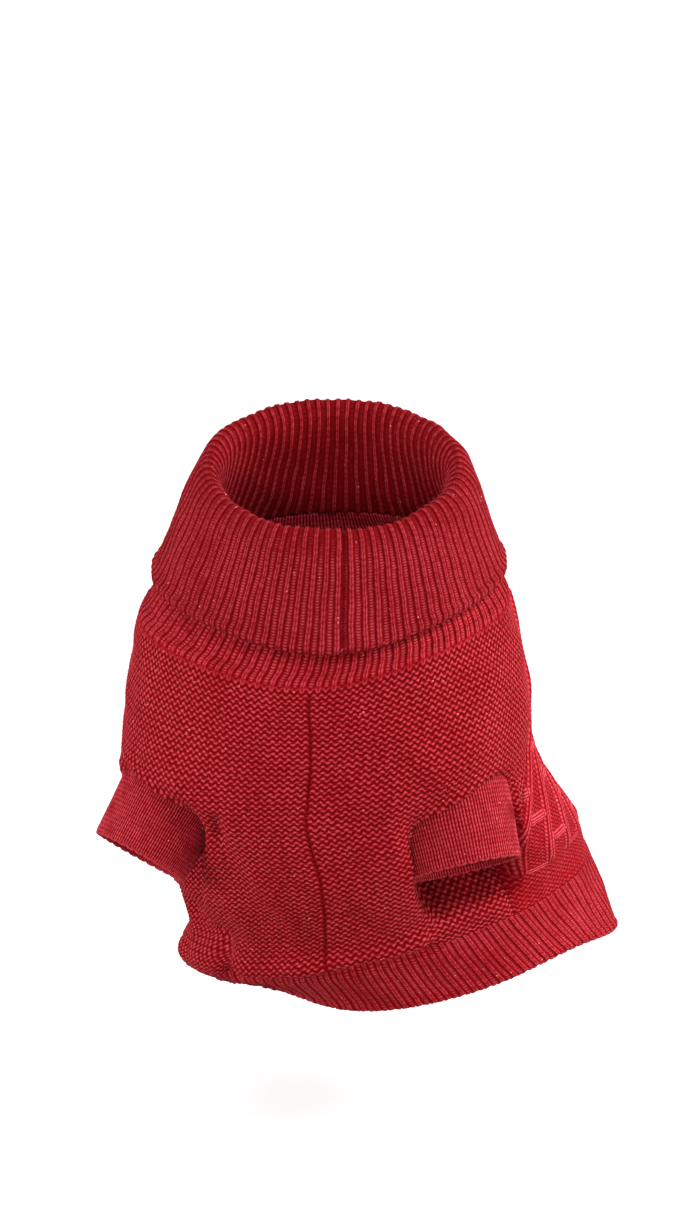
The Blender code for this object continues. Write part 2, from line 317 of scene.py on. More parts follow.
COLLAR_FORM = Loft(
    (
        Section(0.0, 0.2, 3.6, 26.9, 69.6, 61.1, 13.0, 0.0, 2.0, 9.0),
        Section(1.0, 1.2, 5.4, 36.5, 61.5, 57.0, 15.5, 0.0, 1.4, 6.0),
        Section(2.0, 2.4, 8.8, 54.0, 53.5, 52.5, 19.0, 0.0, 0.6, 1.5),
        Section(3.0, 2.8, 11.0, 66.5, 51.5, 52.0, 20.0, 0.0, 0.0, 0.0),
        Section(4.0, 2.8, 12.0, 72.5, 56.5, 57.0, 20.5, 0.0, 0.0, 0.0),
        Section(5.0, 2.8, 11.5, 67.5, 62.5, 62.5, 20.0, 0.0, 0.3, 0.5),
        Section(6.0, 2.4, 9.5, 56.5, 67.5, 65.5, 18.0, 0.0, 0.8, 2.5),
        Section(7.0, 1.6, 7.0, 41.5, 73.5, 69.0, 14.5, 0.0, 1.2, 5.5),
        Section(8.0, 0.8, 4.0, 26.0, 79.5, 73.0, 12.0, 0.0, 1.6, 8.5),
    )
)
COLLAR_BASE, COLLAR_EDGE = 0.0, 8.0  # levels

SLEEVE_LEFT = SleeveForm(
    "sleeve_left",
    armhole=(53.5, -25.6, -72.4),
    cuff=(61.0, -36.6, -102.9),
    facing=(0.38, -0.35, -0.86),
    outward=(0.946, 0.27, 0.175),
    inward=(-0.35, 0.94, 0.0),
    half_width=29.0,
    half_depth=24.0,
    cuff_share=0.93,
)
SLEEVE_RIGHT = SleeveForm(
    "sleeve_right",
    armhole=(-67.0, -10.0, -72.0),
    cuff=(-84.5, -20.0, -101.5),
    facing=(-0.52, -0.35, -0.78),
    outward=(-0.74, 0.576, 0.34),
    inward=(0.50, 0.86, 0.0),
    half_width=26.0,
    half_depth=23.5,
    cuff_share=0.90,
)
SLEEVES = (SLEEVE_LEFT, SLEEVE_RIGHT)

BODY_FORM = BodyForm(
    sections=Loft(
        (
            Section(-2.0, 0.0, 3.5, 26.5, 72.0, 63.5, 13.0, -2.0, 2.0, 9.0),
            Section(-1.0, -0.5, 1.8, 17.0, 79.5, 68.0, 12.7, -3.5, 3.0, 8.5),
            Section(0.0, -1.5, 0.0, 7.5, 84.5, 72.0, 12.0, -5.0, 3.0, 8.0),
            Section(1.0, -0.5, 9.0, -34.0, 91.5, 80.5, 8.6, -5.0, 4.0, 1.5),
            Section(2.0, 1.5, 19.0, -70.0, 92.5, 86.0, 5.0, -7.0, 5.5, 0.0),
            Section(3.0, 17.0, 35.0, -103.0, 92.5, 94.0, 3.0, -12.0, 8.5, 0.0),
            Section(4.0, 26.0, 52.0, -125.0, 92.0, 98.0, 4.5, -16.0, 12.0, 0.0),
            Section(5.0, 31.0, 67.0, -145.0, 92.5, 98.0, 5.5, -18.0, 13.5, 0.0),
            Section(6.0, 38.5, 82.0, -181.0, 100.0, 95.0, 0.5, -20.0, 12.5, 0.0),
        )
    ),
    folds=(
        Fold(1.5, 46.0, 0.5, 24.0, 3.0),
        Fold(1.5, -50.0, 0.5, 24.0, 4.0),
        Fold(4.85, -66.0, 0.5, 28.0, 10.0),
        Fold(4.1, -46.0, 0.30, 14.0, -7.0),
        Fold(4.9, 0.0, 0.45, 34.0, 5.0, 4.5),
        Fold(6.2, -60.0, 0.8, 38.0, -10.0, 15.0),
        Fold(6.2, -22.0, 0.7, 22.0, -4.0, 7.0),
        Fold(6.1, 70.0, 0.6, 24.0, 0.0, 6.0),
    ),
    sleeves=SLEEVES,
)
NECK_TOP, NECK_BASE, HEM_TOP, HEM_EDGE = -2.0, 0.0, 5.0, 6.0  # levels

SIDE_LINE = (
    SidePoint(0.0, 100.0, 100.0),
    SidePoint(1.0, 98.0, 98.0),
    SidePoint(1.6, 90.0, 93.0),
    SidePoint(2.2, 76.0, 84.0),
    SidePoint(3.0, 61.0, 77.0),
    SidePoint(4.0, 57.0, 75.0),
    SidePoint(5.0, 56.0, 74.0),
)


class Side(Enum):
    """The wearer's sides, each with the sign of its angles."""

    LEFT = 1
    RIGHT = -1

    @property
    def label(self) -> str:
        """The side in small letters."""
        return self.name.lower()


def side_angle(level: Array, side: Side) -> Array:
    """How far round from the centre front a side's seam runs, at each level."""
    places = [point.level for point in SIDE_LINE]
    return cubic(places, [getattr(point, side.label) for point in SIDE_LINE], level)


@dataclass(frozen=True)
class Crease:
    """A soft ridge along a path of levels and angles, or a trough where height is below 0."""

    reach: float
    height: float
    path: tuple[tuple[float, float], ...]

    def __call__(self, points: Array) -> Array:
        """How far the crease moves the body along its normal.

        Args:
            points: Points of the body.

        Returns:
            One distance for each point.
        """
        levels, angles = (np.array(column, float) for column in zip(*self.path))
        line = BODY_FORM(levels, angles)
        nearest = np.full(points.shape[:-1], np.inf)
        for start, end in zip(line[:-1], line[1:]):
            way = end - start
            share = np.clip((points - start) @ way / (way @ way), 0.0, 1.0)
            gap = np.linalg.norm(points - start - share[..., None] * way, axis=-1)
            nearest = np.minimum(nearest, gap)
        return self.height * hill(nearest, self.reach)


CREASES = (
    Crease(
        6.0,
        -3.8,
        ((3.74, -62.0), (3.70, -48.0), (3.96, -43.5), (4.20, -41.5), (4.44, -37.0), (4.76, -34.0)),
    ),
    Crease(9.0, 1.6, ((4.30, -27.0), (4.60, -18.0), (4.70, -8.0))),
    Crease(4.5, -3.6, ((1.90, -27.0), (2.15, -29.0))),
    Crease(9.0, -2.2, ((2.20, -29.0), (2.90, -25.0), (3.50, -21.0))),
    Crease(6.0, 1.3, ((1.85, 24.5), (2.30, 22.0), (2.90, 20.0))),
    Crease(9.0, -0.9, ((2.00, 12.0), (2.80, 9.0), (3.60, 8.0))),
    Crease(5.5, 3.6, ((4.76, -30.0), (4.78, -10.0), (4.78, 10.0), (4.76, 26.0))),
    Crease(3.8, -4.0, ((5.04, -34.0), (5.04, -10.0), (5.04, 10.0), (5.04, 28.0))),
    Crease(9.0, 1.0, ((0.55, -64.0), (1.00, -50.0), (1.35, -36.0))),
    Crease(9.0, 1.0, ((0.60, 60.0), (1.05, 50.0), (1.40, 38.0))),
    Crease(6.0, -1.2, ((2.30, 84.0), (2.90, 70.0), (3.60, 62.0))),
    Crease(7.0, -1.2, ((1.20, -98.0), (1.90, -92.0), (2.60, -86.0))),
)


def armhole_roll(points: Array, sleeve: SleeveForm) -> Array:
    """How far the body stands up beside a sleeve, as its edge rolls over the seam.

    Args:
        points: Points of the body.
        sleeve: The sleeve.

    Returns:
        One distance for each point.
    """
    height, middle, reach, end_reach = 1.4, 2.2, 1.7, 6.0
    down, outward, across = sleeve.axes()
    offset = points - np.asarray(sleeve.armhole)
    along = offset @ down
    radius = np.hypot(offset @ outward / sleeve.half_width, offset @ across / sleeve.half_depth)
    gap = (radius - 1.0) * (sleeve.half_width + sleeve.half_depth) / 2
    within = smooth_step(-3 * end_reach, -2 * end_reach, along) * smooth_step(
        sleeve.length + end_reach, sleeve.length, along
    )
    return height * hill(gap - middle, reach) * within


def unevenness(points: Array, waves: float, turn: float) -> Array:
    """A soft unevenness between about -1 and 1, the same wherever two pieces meet.

    Args:
        points: The places.
        waves: The length of its waves.
        turn: A phase that tells one unevenness from another.

    Returns:
        One value for each place.
    """
    x, y, z = (points[..., k] * (2 * math.pi / waves) for k in range(3))
    slow = np.sin(0.62 * x + 0.41 * z + turn) * np.cos(0.55 * y - 0.73 * z + 2 * turn)
    quick = np.sin(1.31 * x - 1.12 * y + 3 * turn) * np.sin(1.07 * z + 0.83 * x - turn)
    return 0.65 * slow + 0.5 * quick


def measured_levels(surface: Surface, start: float, end: float, angle: float) -> tuple[Array, Array]:
    """Measure down a surface.

    Args:
        surface: The surface.
        start: The first level.
        end: The last level.
        angle: The angle at which it is measured.

    Returns:
        Closely spaced levels, and the length from the first of them to each.
    """
    samples = 400
    levels = np.linspace(start, end, samples)
    points = surface(levels, np.full_like(levels, angle))
    steps = np.linalg.norm(np.diff(points, axis=0), axis=1)
    return levels, np.concatenate([[0.0], np.cumsum(steps)])


# --- Node trees ------------------------------------------------------------------------------


def feed(node: Node, *inputs: object, **values: object) -> Node:
    """Set up a node.

    Args:
        node: The node.
        *inputs: What goes into its first inputs: a number, a term, a socket, or another node
            whose first output is meant.
        **values: Its settings, by names in small letters, and what goes into its other inputs,
            by their names with underscores for spaces.

    Returns:
        The same node.
    """
    for name, value in values.items():
        if name[0].islower():
            setattr(node, name, value)
    pairs = list(zip(node.inputs, inputs))
    pairs += [(node.inputs[n.replace("_", " ")], v) for n, v in values.items() if n[0].isupper()]
    for socket, value in pairs:
        value = value.source if isinstance(value, Term) else value
        value = value.outputs[0] if isinstance(value, Node) else value
        if isinstance(value, NodeSocket):
            node.id_data.links.new(value, socket)
        else:
            socket.default_value = value
    return node


def add_node(tree: NodeTree, kind: str, *inputs: object, **values: object) -> Node:
    """A new node in a tree, set up as feed does it."""
    return feed(tree.nodes.new(kind), *inputs, **values)


def joined_by(operation: str) -> Callable[..., "Term"]:
    """Make one of Term's methods.

    Args:
        operation: The operation of a Math node.

    Returns:
        A method that joins the term and those after it in such a node.
    """

    def method(self: "Term", *others: "Term | float") -> "Term":
        """The result of the node."""
        node = add_node(self.tree, "ShaderNodeMath", self, *others, operation=operation)
        return Term(self.tree, node.outputs[0])

    return method


@dataclass(frozen=True)
class Term:
    """A socket or a number in a node tree, with the arithmetic that joins it to others."""

    tree: NodeTree
    source: NodeSocket | float

    __add__ = joined_by("ADD")
    __sub__ = joined_by("SUBTRACT")
    __mul__ = joined_by("MULTIPLY")
    __truediv__ = joined_by("DIVIDE")
    times_plus = joined_by("MULTIPLY_ADD")  # times a factor, plus an addend
    floor = joined_by("FLOOR")
    fract = joined_by("FRACT")
    size = joined_by("ABSOLUTE")
    power = joined_by("POWER")
    root = joined_by("SQRT")
    cosine_of_radians = joined_by("COSINE")
    larger = joined_by("MAXIMUM")
    smaller = joined_by("MINIMUM")
    above = joined_by("GREATER_THAN")  # 1 above a threshold and 0 below

    def one_minus(self) -> "Term":
        """1 less this term."""
        return self.times_plus(-1.0, 1.0)

    def cosine(self) -> "Term":
        """The cosine of this term in whole turns."""
        return (self * (2 * math.pi)).cosine_of_radians()

    def ramp(self, low: float, high: float) -> "Term":
        """A straight rise from 0 at low to 1 at high."""
        scale = 1.0 / (high - low)
        return self.times_plus(scale, -low * scale).larger(0.0).smaller(1.0)

    def round_over(self, steepness: float = 0.6) -> "Term":
        """A round back: 1 where this term is 0, falling to 0 at -1 and 1."""
        return (self * self).one_minus().larger(0.0).power(steepness)

    def mixed(self, other: "Term", share: "Term") -> "Term":
        """This term where share is 0 and the other where it is 1."""
        return (other - self).times_plus(share, self)

    def noise(self, other: "Term", layer: float) -> "Term":
        """Smooth noise about 0 on this term and another, different in each layer."""
        place = add_node(self.tree, "ShaderNodeCombineXYZ", self, other, layer)
        return noise(self.tree, place) - 0.5


def noise(tree: NodeTree, places: object, *, scale: float = 1.0, detail: float = 0.0) -> Term:
    """A noise texture read at places."""
    texture = add_node(tree, "ShaderNodeTexNoise", Scale=scale, Detail=detail, Vector=places)
    return Term(tree, texture.outputs[0])


def split(tree: NodeTree, vector: object) -> list[Term]:
    """The three parts of a vector."""
    parts = add_node(tree, "ShaderNodeSeparateXYZ", vector)
    return [Term(tree, part) for part in parts.outputs]


def camera_ray(tree: NodeTree) -> Term:
    """1 on what the camera sees straight, and 0 in its light and its reflections."""
    return Term(tree, add_node(tree, "ShaderNodeLightPath").outputs["Is Camera Ray"])


# --- Stitches: one set of formulas, used for the relief of the mesh and for its material ------


class Stitch(Enum):
    """The kinds of knitting in the garment, each with the name of its formula in Knitting."""

    PURL = "purl"
    PLAIN = "plain"
    RIB = "rib"
    CABLE = "cable"


@dataclass(frozen=True)
class Relief:
    """What a knit formula gives: its coarse form and its stitches, each from 0 to 1."""

    form: Term
    stitch: Term


@dataclass(frozen=True)
class Knitting:
    """One kind of knitting, on a wale coordinate across and a course coordinate down."""

    kind: Stitch
    knit_share: float = 0.5
    rib_bow: float = 0.35
    rib_leg_height: float = 0.55
    rib_tongue: float = 0.7
    cable_pitch: float = 5.0
    cable_step: float = 7.0
    cable_end: tuple[float, float] = (53.0, 56.0)
    rope_half: float = 0.21
    link_half: float = 0.20
    link_height: float = 0.9
    strand_steepness: float = 1.5
    ground_height: float = 0.9
    softness: float = 0.7
    arch: float = 0.24
    thickness: float = 0.66
    bump_half: float = 0.44
    leg_scale: float = 4.4
    leg_place: float = 1.1
    leg_slant: float = 1.3
    bead_share: float = 0.55
    rib_bead: tuple[float, float] = (0.60, 0.36)
    wobble: float = 0.0
    wobble_rate: float = 1.6
    wobble_layers: tuple[float, float] = (3.0, 9.0)
    course_wobble: float = 0.5
    fade: tuple[float, float] | None = None
    bead_rise: tuple[float, float] | None = None
    seam_wale: float | None = None
    seam_half: float = 0.3
    seam_floor: float = 0.4

    def purl_row(self, wale: Term, away: Term, index: Term) -> Term:
        """One row of purl bumps, each lying half a stitch aside of those above it.

        Args:
            wale: The wale coordinate.
            away: How far down from the row.
            index: The row's number.

        Returns:
            The height of its bumps.
        """
        odd = (index * 0.5).fract()
        phase = (wale + odd).fract() - 0.5
        way = odd * -4.0 + 1.0
        wave = (phase.cosine() - 1.0) * way * self.arch
        off_row = (away + wave) / self.thickness
        off_middle = phase / self.bump_half
        return (off_row * off_row + off_middle * off_middle).root().round_over(self.softness)

    def purl(self, wale: Term, course: Term) -> Term:
        """The bumps of the purl side, a little uneven; arguments are those of relief."""
        if self.wobble:
            place = course * self.wobble_rate
            across, down = (wale.noise(place, layer) for layer in self.wobble_layers)
            wale = wale + across * self.wobble
            course = course + down * (self.wobble * self.course_wobble)
        rows = course * 2.0
        upper = rows.floor()
        away = rows - upper
        above = self.purl_row(wale, away, upper)
        return above.larger(self.purl_row(wale, away - 1.0, upper + 1.0))

    def plain(self, wale: Term, course: Term) -> Term:
        """The slanting legs of the plain side's stitches; arguments are those of relief."""
        aside = (wale.fract() - 0.5).size()
        leg = (aside * self.leg_scale - self.leg_place).round_over(self.softness)
        slant = aside.times_plus(self.leg_slant, course).fract() - 0.5
        bead = (slant * 2.0).round_over(self.softness)
        return leg * bead.times_plus(self.bead_share, 1.0 - self.bead_share)

    def rib(self, wale: Term, course: Term) -> Relief:
        """Plain wales between lower, beaded purl ones; arguments are those of relief."""
        share = self.knit_share
        across = (wale * 0.5).fract() - 0.5
        side = across.size()
        edge = side / (share / 2)
        legs = self.plain(across / share + 0.5, course)
        legs = legs * self.rib_leg_height + (1.0 - self.rib_leg_height)
        smooth = edge.round_over(self.softness) * legs
        gap = (side * -1.0 + 0.5) / ((1 - share) / 2)
        rows = (gap * gap).times_plus(self.rib_bow, course * 2.0)
        bead = (rows.fract() * 2.0 - 1.0).round_over()
        bead_height, bead_floor = self.rib_bead
        beaded = gap.round_over(self.softness) * (bead * bead_height + bead_floor)
        if self.bead_rise:
            beaded = beaded * (course.ramp(*self.bead_rise) * 0.5 + 0.5)
        crest = across.cosine() * 0.5 + 0.5
        stitch = smooth.larger(beaded)
        if self.fade:
            faded = (course + edge.smaller(1.0) * self.rib_tongue).ramp(*self.fade)
            stitch = stitch.mixed(self.purl(wale, course), faded)
            crest = crest * faded.one_minus()
        return Relief(crest, stitch)

    def cable(self, wale: Term, course: Term) -> Relief:
        """Ropes with cross-links in brick order, on purl; arguments are those of relief."""
        on_link, on_rope, odd = 0.08, 0.02, 0.25
        place = wale / self.cable_pitch
        beside = (place + 0.5).fract() - 0.5
        running = course.ramp(*self.cable_end).one_minus()
        rope = (beside / self.rope_half).round_over(self.strand_steepness) * running
        step = course / self.cable_step
        above = (step + 0.5).fract() - 0.5
        parity = ((place.floor() + (step + 0.5).floor()) * 0.5).fract()
        linked = parity.above(odd).one_minus()
        link = (above / self.link_half).round_over(self.strand_steepness)
        link = link * linked * running * self.link_height
        legs = self.plain(beside / self.rope_half, course)
        wraps = ((above / (self.link_half / 2)).fract() * 2.0 - 1.0).round_over()
        ground = self.purl(wale, course) * self.ground_height
        stitch = ground.mixed(wraps, link.above(on_link)).mixed(legs, rope.above(on_rope))
        return Relief(rope.larger(link), stitch)

    def relief(self, wale: Term, course: Term) -> Relief:
        """The relief of this kind of knitting.

        Args:
            wale: The coordinate across the stitches' columns.
            course: The coordinate down the stitches' rows.

        Returns:
            The coarse form and the stitches on it.
        """
        relief = getattr(self, self.kind.value)(wale, course)
        if isinstance(relief, Term):
            relief = Relief(Term(wale.tree, 0.0), relief)
        if self.seam_wale is None:
            return relief
        clear = (wale - self.seam_wale).size().ramp(0.0, self.seam_half)
        height = clear * (1.0 - self.seam_floor) + self.seam_floor
        return Relief(relief.form, relief.stitch * height)


# --- Finishes --------------------------------------------------------------------------------


def new_material(name: str) -> tuple[Material, NodeTree, Node]:
    """A new material, its node tree and its shader."""
    material = bpy.data.materials.new(name)
    material.use_nodes = True
    return material, material.node_tree, material.node_tree.nodes["Principled BSDF"]


def mixed_colour(share: Term, first: object, second: object) -> NodeSocket:
    """The first colour where share is 0 and the second where it is 1."""
    node = add_node(share.tree, "ShaderNodeMix", data_type="RGBA", Factor=share, A=first, B=second)
    return node.outputs["Result"]


@dataclass(frozen=True)
class WoolFinish:
    """Soft red yarn, with painted shade between its stitches, a painted highlight on their crests
    and painted glints on a few metallic fibres.
    """

    name: str
    knitting: Knitting
    # painted shade: the darker colour in the furrows between the stitches, where shade falls
    furrow: Triple = (0.185, 0.0001, 0.0004)
    yarn: Triple = (0.315, 0.0050, 0.0100)
    # painted highlight: the pale pinkish colour on the stitches' crests, standing in for sheen
    crest: Triple = (0.62, 0.060, 0.084)
    stops: Triple = (0.18, 0.60, 1.0)
    # how far the coarse form, rib crests and cable ropes, lifts the colour towards the painted
    # highlight
    form_share: float = 0.06
    fibre_scale: float = 2600.0
    fibre_share: float = 0.30
    fibre_bump: float = 0.28
    mottle_scale: float = 420.0
    mottle_share: float = 0.35
    cloud_scale: float = 45.0
    cloud_share: float = 0.20
    # painted glint on specks of metallic fibre
    glint: Triple = (0.85, 0.30, 0.25)
    glint_scale: float = 620.0
    glint_reach: float = 0.20
    glint_share: float = 0.978
    glint_height: float = 0.45
    bump_depth: float = 0.4
    roughness: float = 0.80
    specular: float = 0.05
    sheen: float = 0.03
    sheen_roughness: float = 0.35
    sheen_tint: Triple = (1.0, 0.42, 0.46)

    def material(self) -> Material:
        """The finish as a material that reads the piece's knit map."""
        material, tree, shader = new_material(self.name)
        knit_map = add_node(tree, "ShaderNodeUVMap", uv_map=KNIT_MAP)
        wale, course, _ = split(tree, knit_map)
        relief = self.knitting.relief(wale, course)
        # The ramp paints shade where this height is low and a highlight where it is high.
        height = relief.stitch * (1 - self.form_share) + relief.form * self.form_share
        places = add_node(tree, "ShaderNodeTexCoord").outputs["Object"]
        fibre = noise(tree, places, scale=self.fibre_scale, detail=3.0)
        mottle = noise(tree, places, scale=self.mottle_scale, detail=1.0)
        cloud = noise(tree, places, scale=self.cloud_scale, detail=2.0)
        fine = (fibre - 0.5) * self.fibre_share + (mottle - 0.5) * self.mottle_share
        shade = height + (fine + (cloud - 0.5) * self.cloud_share)
        # Painted glints, only on the high parts of the stitches.
        glints = self.glints(tree, places) * height.above(self.glint_height)
        bump = add_node(
            tree,
            "ShaderNodeBump",
            Strength=1.0,
            Distance=self.bump_depth * MM,
            Height=height + fibre * self.fibre_bump,
        )
        feed(
            shader,
            Base_Color=mixed_colour(glints, self.ramp(tree, shade), (*self.glint, 1.0)),
            Normal=bump,
            Roughness=self.roughness,
            Specular_IOR_Level=self.specular,
            Sheen_Weight=self.sheen,
            Sheen_Roughness=self.sheen_roughness,
            Sheen_Tint=(*self.sheen_tint, 1.0),
        )
        return material

    def ramp(self, tree: NodeTree, shade: Term) -> Node:
        """The yarn's colour, with painted shade in its furrows and a painted highlight on its
        crests.
        """
        node = add_node(tree, "ShaderNodeValToRGB", shade)
        node.color_ramp.interpolation = "EASE"
        elements = node.color_ramp.elements
        elements.new(0.5)
        colours = (self.furrow, self.yarn, self.crest)
        for element, place, colour in zip(elements, self.stops, colours):
            element.position = place
            element.color = (*colour, 1.0)
        return node

    def glints(self, tree: NodeTree, places: NodeSocket) -> Term:
        """Specks of metallic fibre, scattered sparsely, whose colour is partly the fibre's own and
        partly a painted glint: 1 on them and 0 elsewhere.
        """
        cells = add_node(tree, "ShaderNodeTexVoronoi", Scale=self.glint_scale, Vector=places)
        chance = split(tree, cells.outputs["Color"])[0]
        near = Term(tree, cells.outputs["Distance"]).above(self.glint_reach).one_minus()
        return near * chance.above(self.glint_share)


@dataclass(frozen=True)
class YarnFinish:
    """Bare yarn, for the stitches along an edge and for loose fibres."""

    name: str
    shade: Triple = (0.30, 0.0075, 0.0125)
    light: Triple = (0.60, 0.060, 0.078)
    fibre_scale: float = 1900.0
    roughness: float = 0.85
    specular: float = 0.05

    def material(self) -> Material:
        """The finish as a material."""
        material, tree, shader = new_material(self.name)
        places = add_node(tree, "ShaderNodeTexCoord").outputs["Object"]
        fibre = noise(tree, places, scale=self.fibre_scale, detail=2.0)
        feed(
            shader,
            Base_Color=mixed_colour(fibre, (*self.shade, 1.0), (*self.light, 1.0)),
            Roughness=self.roughness,
            Specular_IOR_Level=self.specular,
        )
        return material


@dataclass(frozen=True)
class PaleFinish:
    """A plain matt finish for the studio, which glows a little to the camera alone."""

    name: str
    grey: float
    glow: float = 0.50
    bounce: float = 0.50
    roughness: float = 0.9

    def material(self) -> Material:
        """The finish as a material."""
        material, tree, shader = new_material(self.name)
        seen = camera_ray(tree)
        grey = (seen * (1 - self.bounce) + self.bounce) * self.grey
        feed(
            shader,
            Base_Color=add_node(tree, "ShaderNodeCombineColor", grey, grey, grey),
            Emission_Color=WHITE,
            Emission_Strength=seen * self.glow,
            Roughness=self.roughness,
        )
        return material


# --- Objects and meshes ----------------------------------------------------------------------


def new_object(name: str, data: ID) -> Object:
    """A new object in the scene."""
    obj = bpy.data.objects.new(name, data)
    bpy.context.scene.collection.objects.link(obj)
    return obj


def keep_result(obj: Object) -> Object:
    """Replace an object's mesh by its evaluated mesh and drop its modifiers."""
    bpy.context.view_layer.update()
    graph = bpy.context.evaluated_depsgraph_get()
    made = bpy.data.meshes.new_from_object(obj.evaluated_get(graph), depsgraph=graph)
    obj.modifiers.clear()
    plain = obj.data
    obj.data = made
    bpy.data.meshes.remove(plain)
    made.name = obj.name
    return obj


def report(obj: Object) -> None:
    """Log how many triangles a piece has."""
    triangles = sum(len(face.vertices) - 2 for face in obj.data.polygons)
    LOG.info("%s: %d triangles", obj.name, triangles)


def read(items: "bpy.types.bpy_prop_collection", key: str, kind: type) -> Array:
    """One value of each of a mesh's items."""
    values = np.empty(len(items), kind)
    items.foreach_get(key, values)
    return values


def write_attributes(mesh: Mesh, **attributes: Array) -> None:
    """Write a vector, or a number, at each point of a mesh under each name."""
    for label, values in attributes.items():
        kind, key = ("FLOAT_VECTOR", "vector") if values.ndim == 2 else ("FLOAT", "value")
        attribute = mesh.attributes.new(label, kind, "POINT")
        attribute.data.foreach_set(key, values.astype(np.float32).ravel())


class GeometryTree:
    """A Geometry Nodes tree with named inputs, which leaves a plain mesh on an object."""

    def __init__(self, name: str, **inputs: str) -> None:
        """Start the tree.

        Args:
            name: Its name.
            **inputs: The kind of each input but the geometry, with underscores for spaces.
        """
        self.tree = bpy.data.node_groups.new(name, "GeometryNodeTree")
        new_socket = self.tree.interface.new_socket
        self.keys = {}
        for label, kind in {"Geometry": "Geometry", **inputs}.items():
            socket = new_socket(
                label.replace("_", " "), in_out="INPUT", socket_type=f"NodeSocket{kind}"
            )
            self.keys[label] = socket.identifier
        new_socket("Geometry", in_out="OUTPUT", socket_type="NodeSocketGeometry")
        entry = self.node("NodeGroupInput")
        self.inputs = {
            label: Term(self.tree, socket) for label, socket in zip(self.keys, entry.outputs)
        }

    def node(self, kind: str, *inputs: object, **values: object) -> Node:
        """A new node, set up as feed does it."""
        return add_node(self.tree, kind, *inputs, **values)

    def attribute(self, name: str, kind: str = "FLOAT_VECTOR") -> Term:
        """The value of a named attribute."""
        node = self.node("GeometryNodeInputNamedAttribute", data_type=kind, Name=name)
        return Term(self.tree, node.outputs["Attribute"])

    def end_with(self, instances: Node) -> None:
        """Make instances real, smooth them and give them the finish."""
        real = self.node("GeometryNodeRealizeInstances", instances)
        smooth = self.node("GeometryNodeSetShadeSmooth", real)
        dressed = self.node("GeometryNodeSetMaterial", smooth, Material=self.inputs["Finish"])
        self.node("NodeGroupOutput", dressed)

    def apply(self, obj: Object, **values: object) -> Object:
        """Run the tree on an object and keep its result.

        Args:
            obj: The object, with the attributes that the tree reads.
            **values: A value for each named input.

        Returns:
            The same object with its new mesh and no modifier.
        """
        modifier = obj.modifiers.new(self.tree.name, "NODES")
        modifier.node_group = self.tree
        for name, value in values.items():
            modifier[self.keys[name]] = value
        return keep_result(obj)


class ReliefTree(GeometryTree):
    """Raises a wall's stitches out of its shown face."""

    def __init__(self, name: str, knitting: Knitting) -> None:
        """Build the tree for one kind of knitting."""
        super().__init__(
            name,
            Form_Height="Float",
            Stitch_Height="Float",
            Sink="Float",
            Outside="Material",
            Inside="Material",
        )
        wale, course, _ = split(self.tree, self.attribute("knit_place"))
        relief = knitting.relief(wale, course)
        shown = self.attribute("shown", "FLOAT")
        coarse = relief.form * self.inputs["Form_Height"]
        fine = relief.stitch * self.inputs["Stitch_Height"]
        rise = (coarse + fine - self.inputs["Sink"]) * shown
        offset = self.node(
            "ShaderNodeVectorMath", self.attribute("outward"), operation="SCALE", Scale=rise
        )
        placed = self.node("GeometryNodeSetPosition", self.inputs["Geometry"], Offset=offset)
        smooth = self.node("GeometryNodeSetShadeSmooth", placed)
        real = self.node("GeometryNodeRealizeInstances", smooth)
        inside = self.node("GeometryNodeSetMaterial", real, Material=self.inputs["Inside"])
        outside = self.node(
            "GeometryNodeSetMaterial",
            inside,
            Selection=shown.above(0.001),
            Material=self.inputs["Outside"],
        )
        self.node("NodeGroupOutput", outside)


class FuzzTree(GeometryTree):
    """Sets loose fibres on the shown face of a wall."""

    def __init__(self, name: str, spread: float = 0.75) -> None:
        """Build the tree; spread is how far a fibre may lean from the wall's normal."""
        super().__init__(
            name, Finish="Material", Density="Float", Length="Float", Radius="Float", Seed="Int"
        )
        seed = self.inputs["Seed"]
        scatter = self.node(
            "GeometryNodeDistributePointsOnFaces",
            Mesh=self.inputs["Geometry"],
            Selection=self.attribute("shown", "FLOAT").above(0.5),
            Density=self.inputs["Density"],
            Seed=seed,
        )
        lean = self.node(
            "FunctionNodeRandomValue",
            data_type="FLOAT_VECTOR",
            Min=(-spread,) * 3,
            Max=(spread,) * 3,
            Seed=seed,
        )
        way = self.node(
            "ShaderNodeVectorMath", scatter.outputs["Normal"], lean.outputs["Value"]
        )
        turn = self.node("FunctionNodeAlignEulerToVector", axis="Z", Vector=way)
        fibre = self.node(
            "GeometryNodeMeshCone",
            Vertices=3,
            Radius_Top=0.0,
            Radius_Bottom=self.inputs["Radius"],
            Depth=self.inputs["Length"],
        )
        self.end_with(
            self.node(
                "GeometryNodeInstanceOnPoints", Points=scatter, Instance=fibre, Rotation=turn
            )
        )


class ChainTree(GeometryTree):
    """Sets a rounded stitch on each point, with the point's own size and turn."""

    def __init__(self, name: str) -> None:
        """Build the tree."""
        super().__init__(name, Finish="Material")
        bead = self.node("GeometryNodeMeshIcoSphere", Radius=1.0, Subdivisions=2)
        self.end_with(
            self.node(
                "GeometryNodeInstanceOnPoints",
                Points=self.inputs["Geometry"],
                Instance=bead,
                Rotation=self.attribute("turn"),
                Scale=self.attribute("size"),
            )
        )


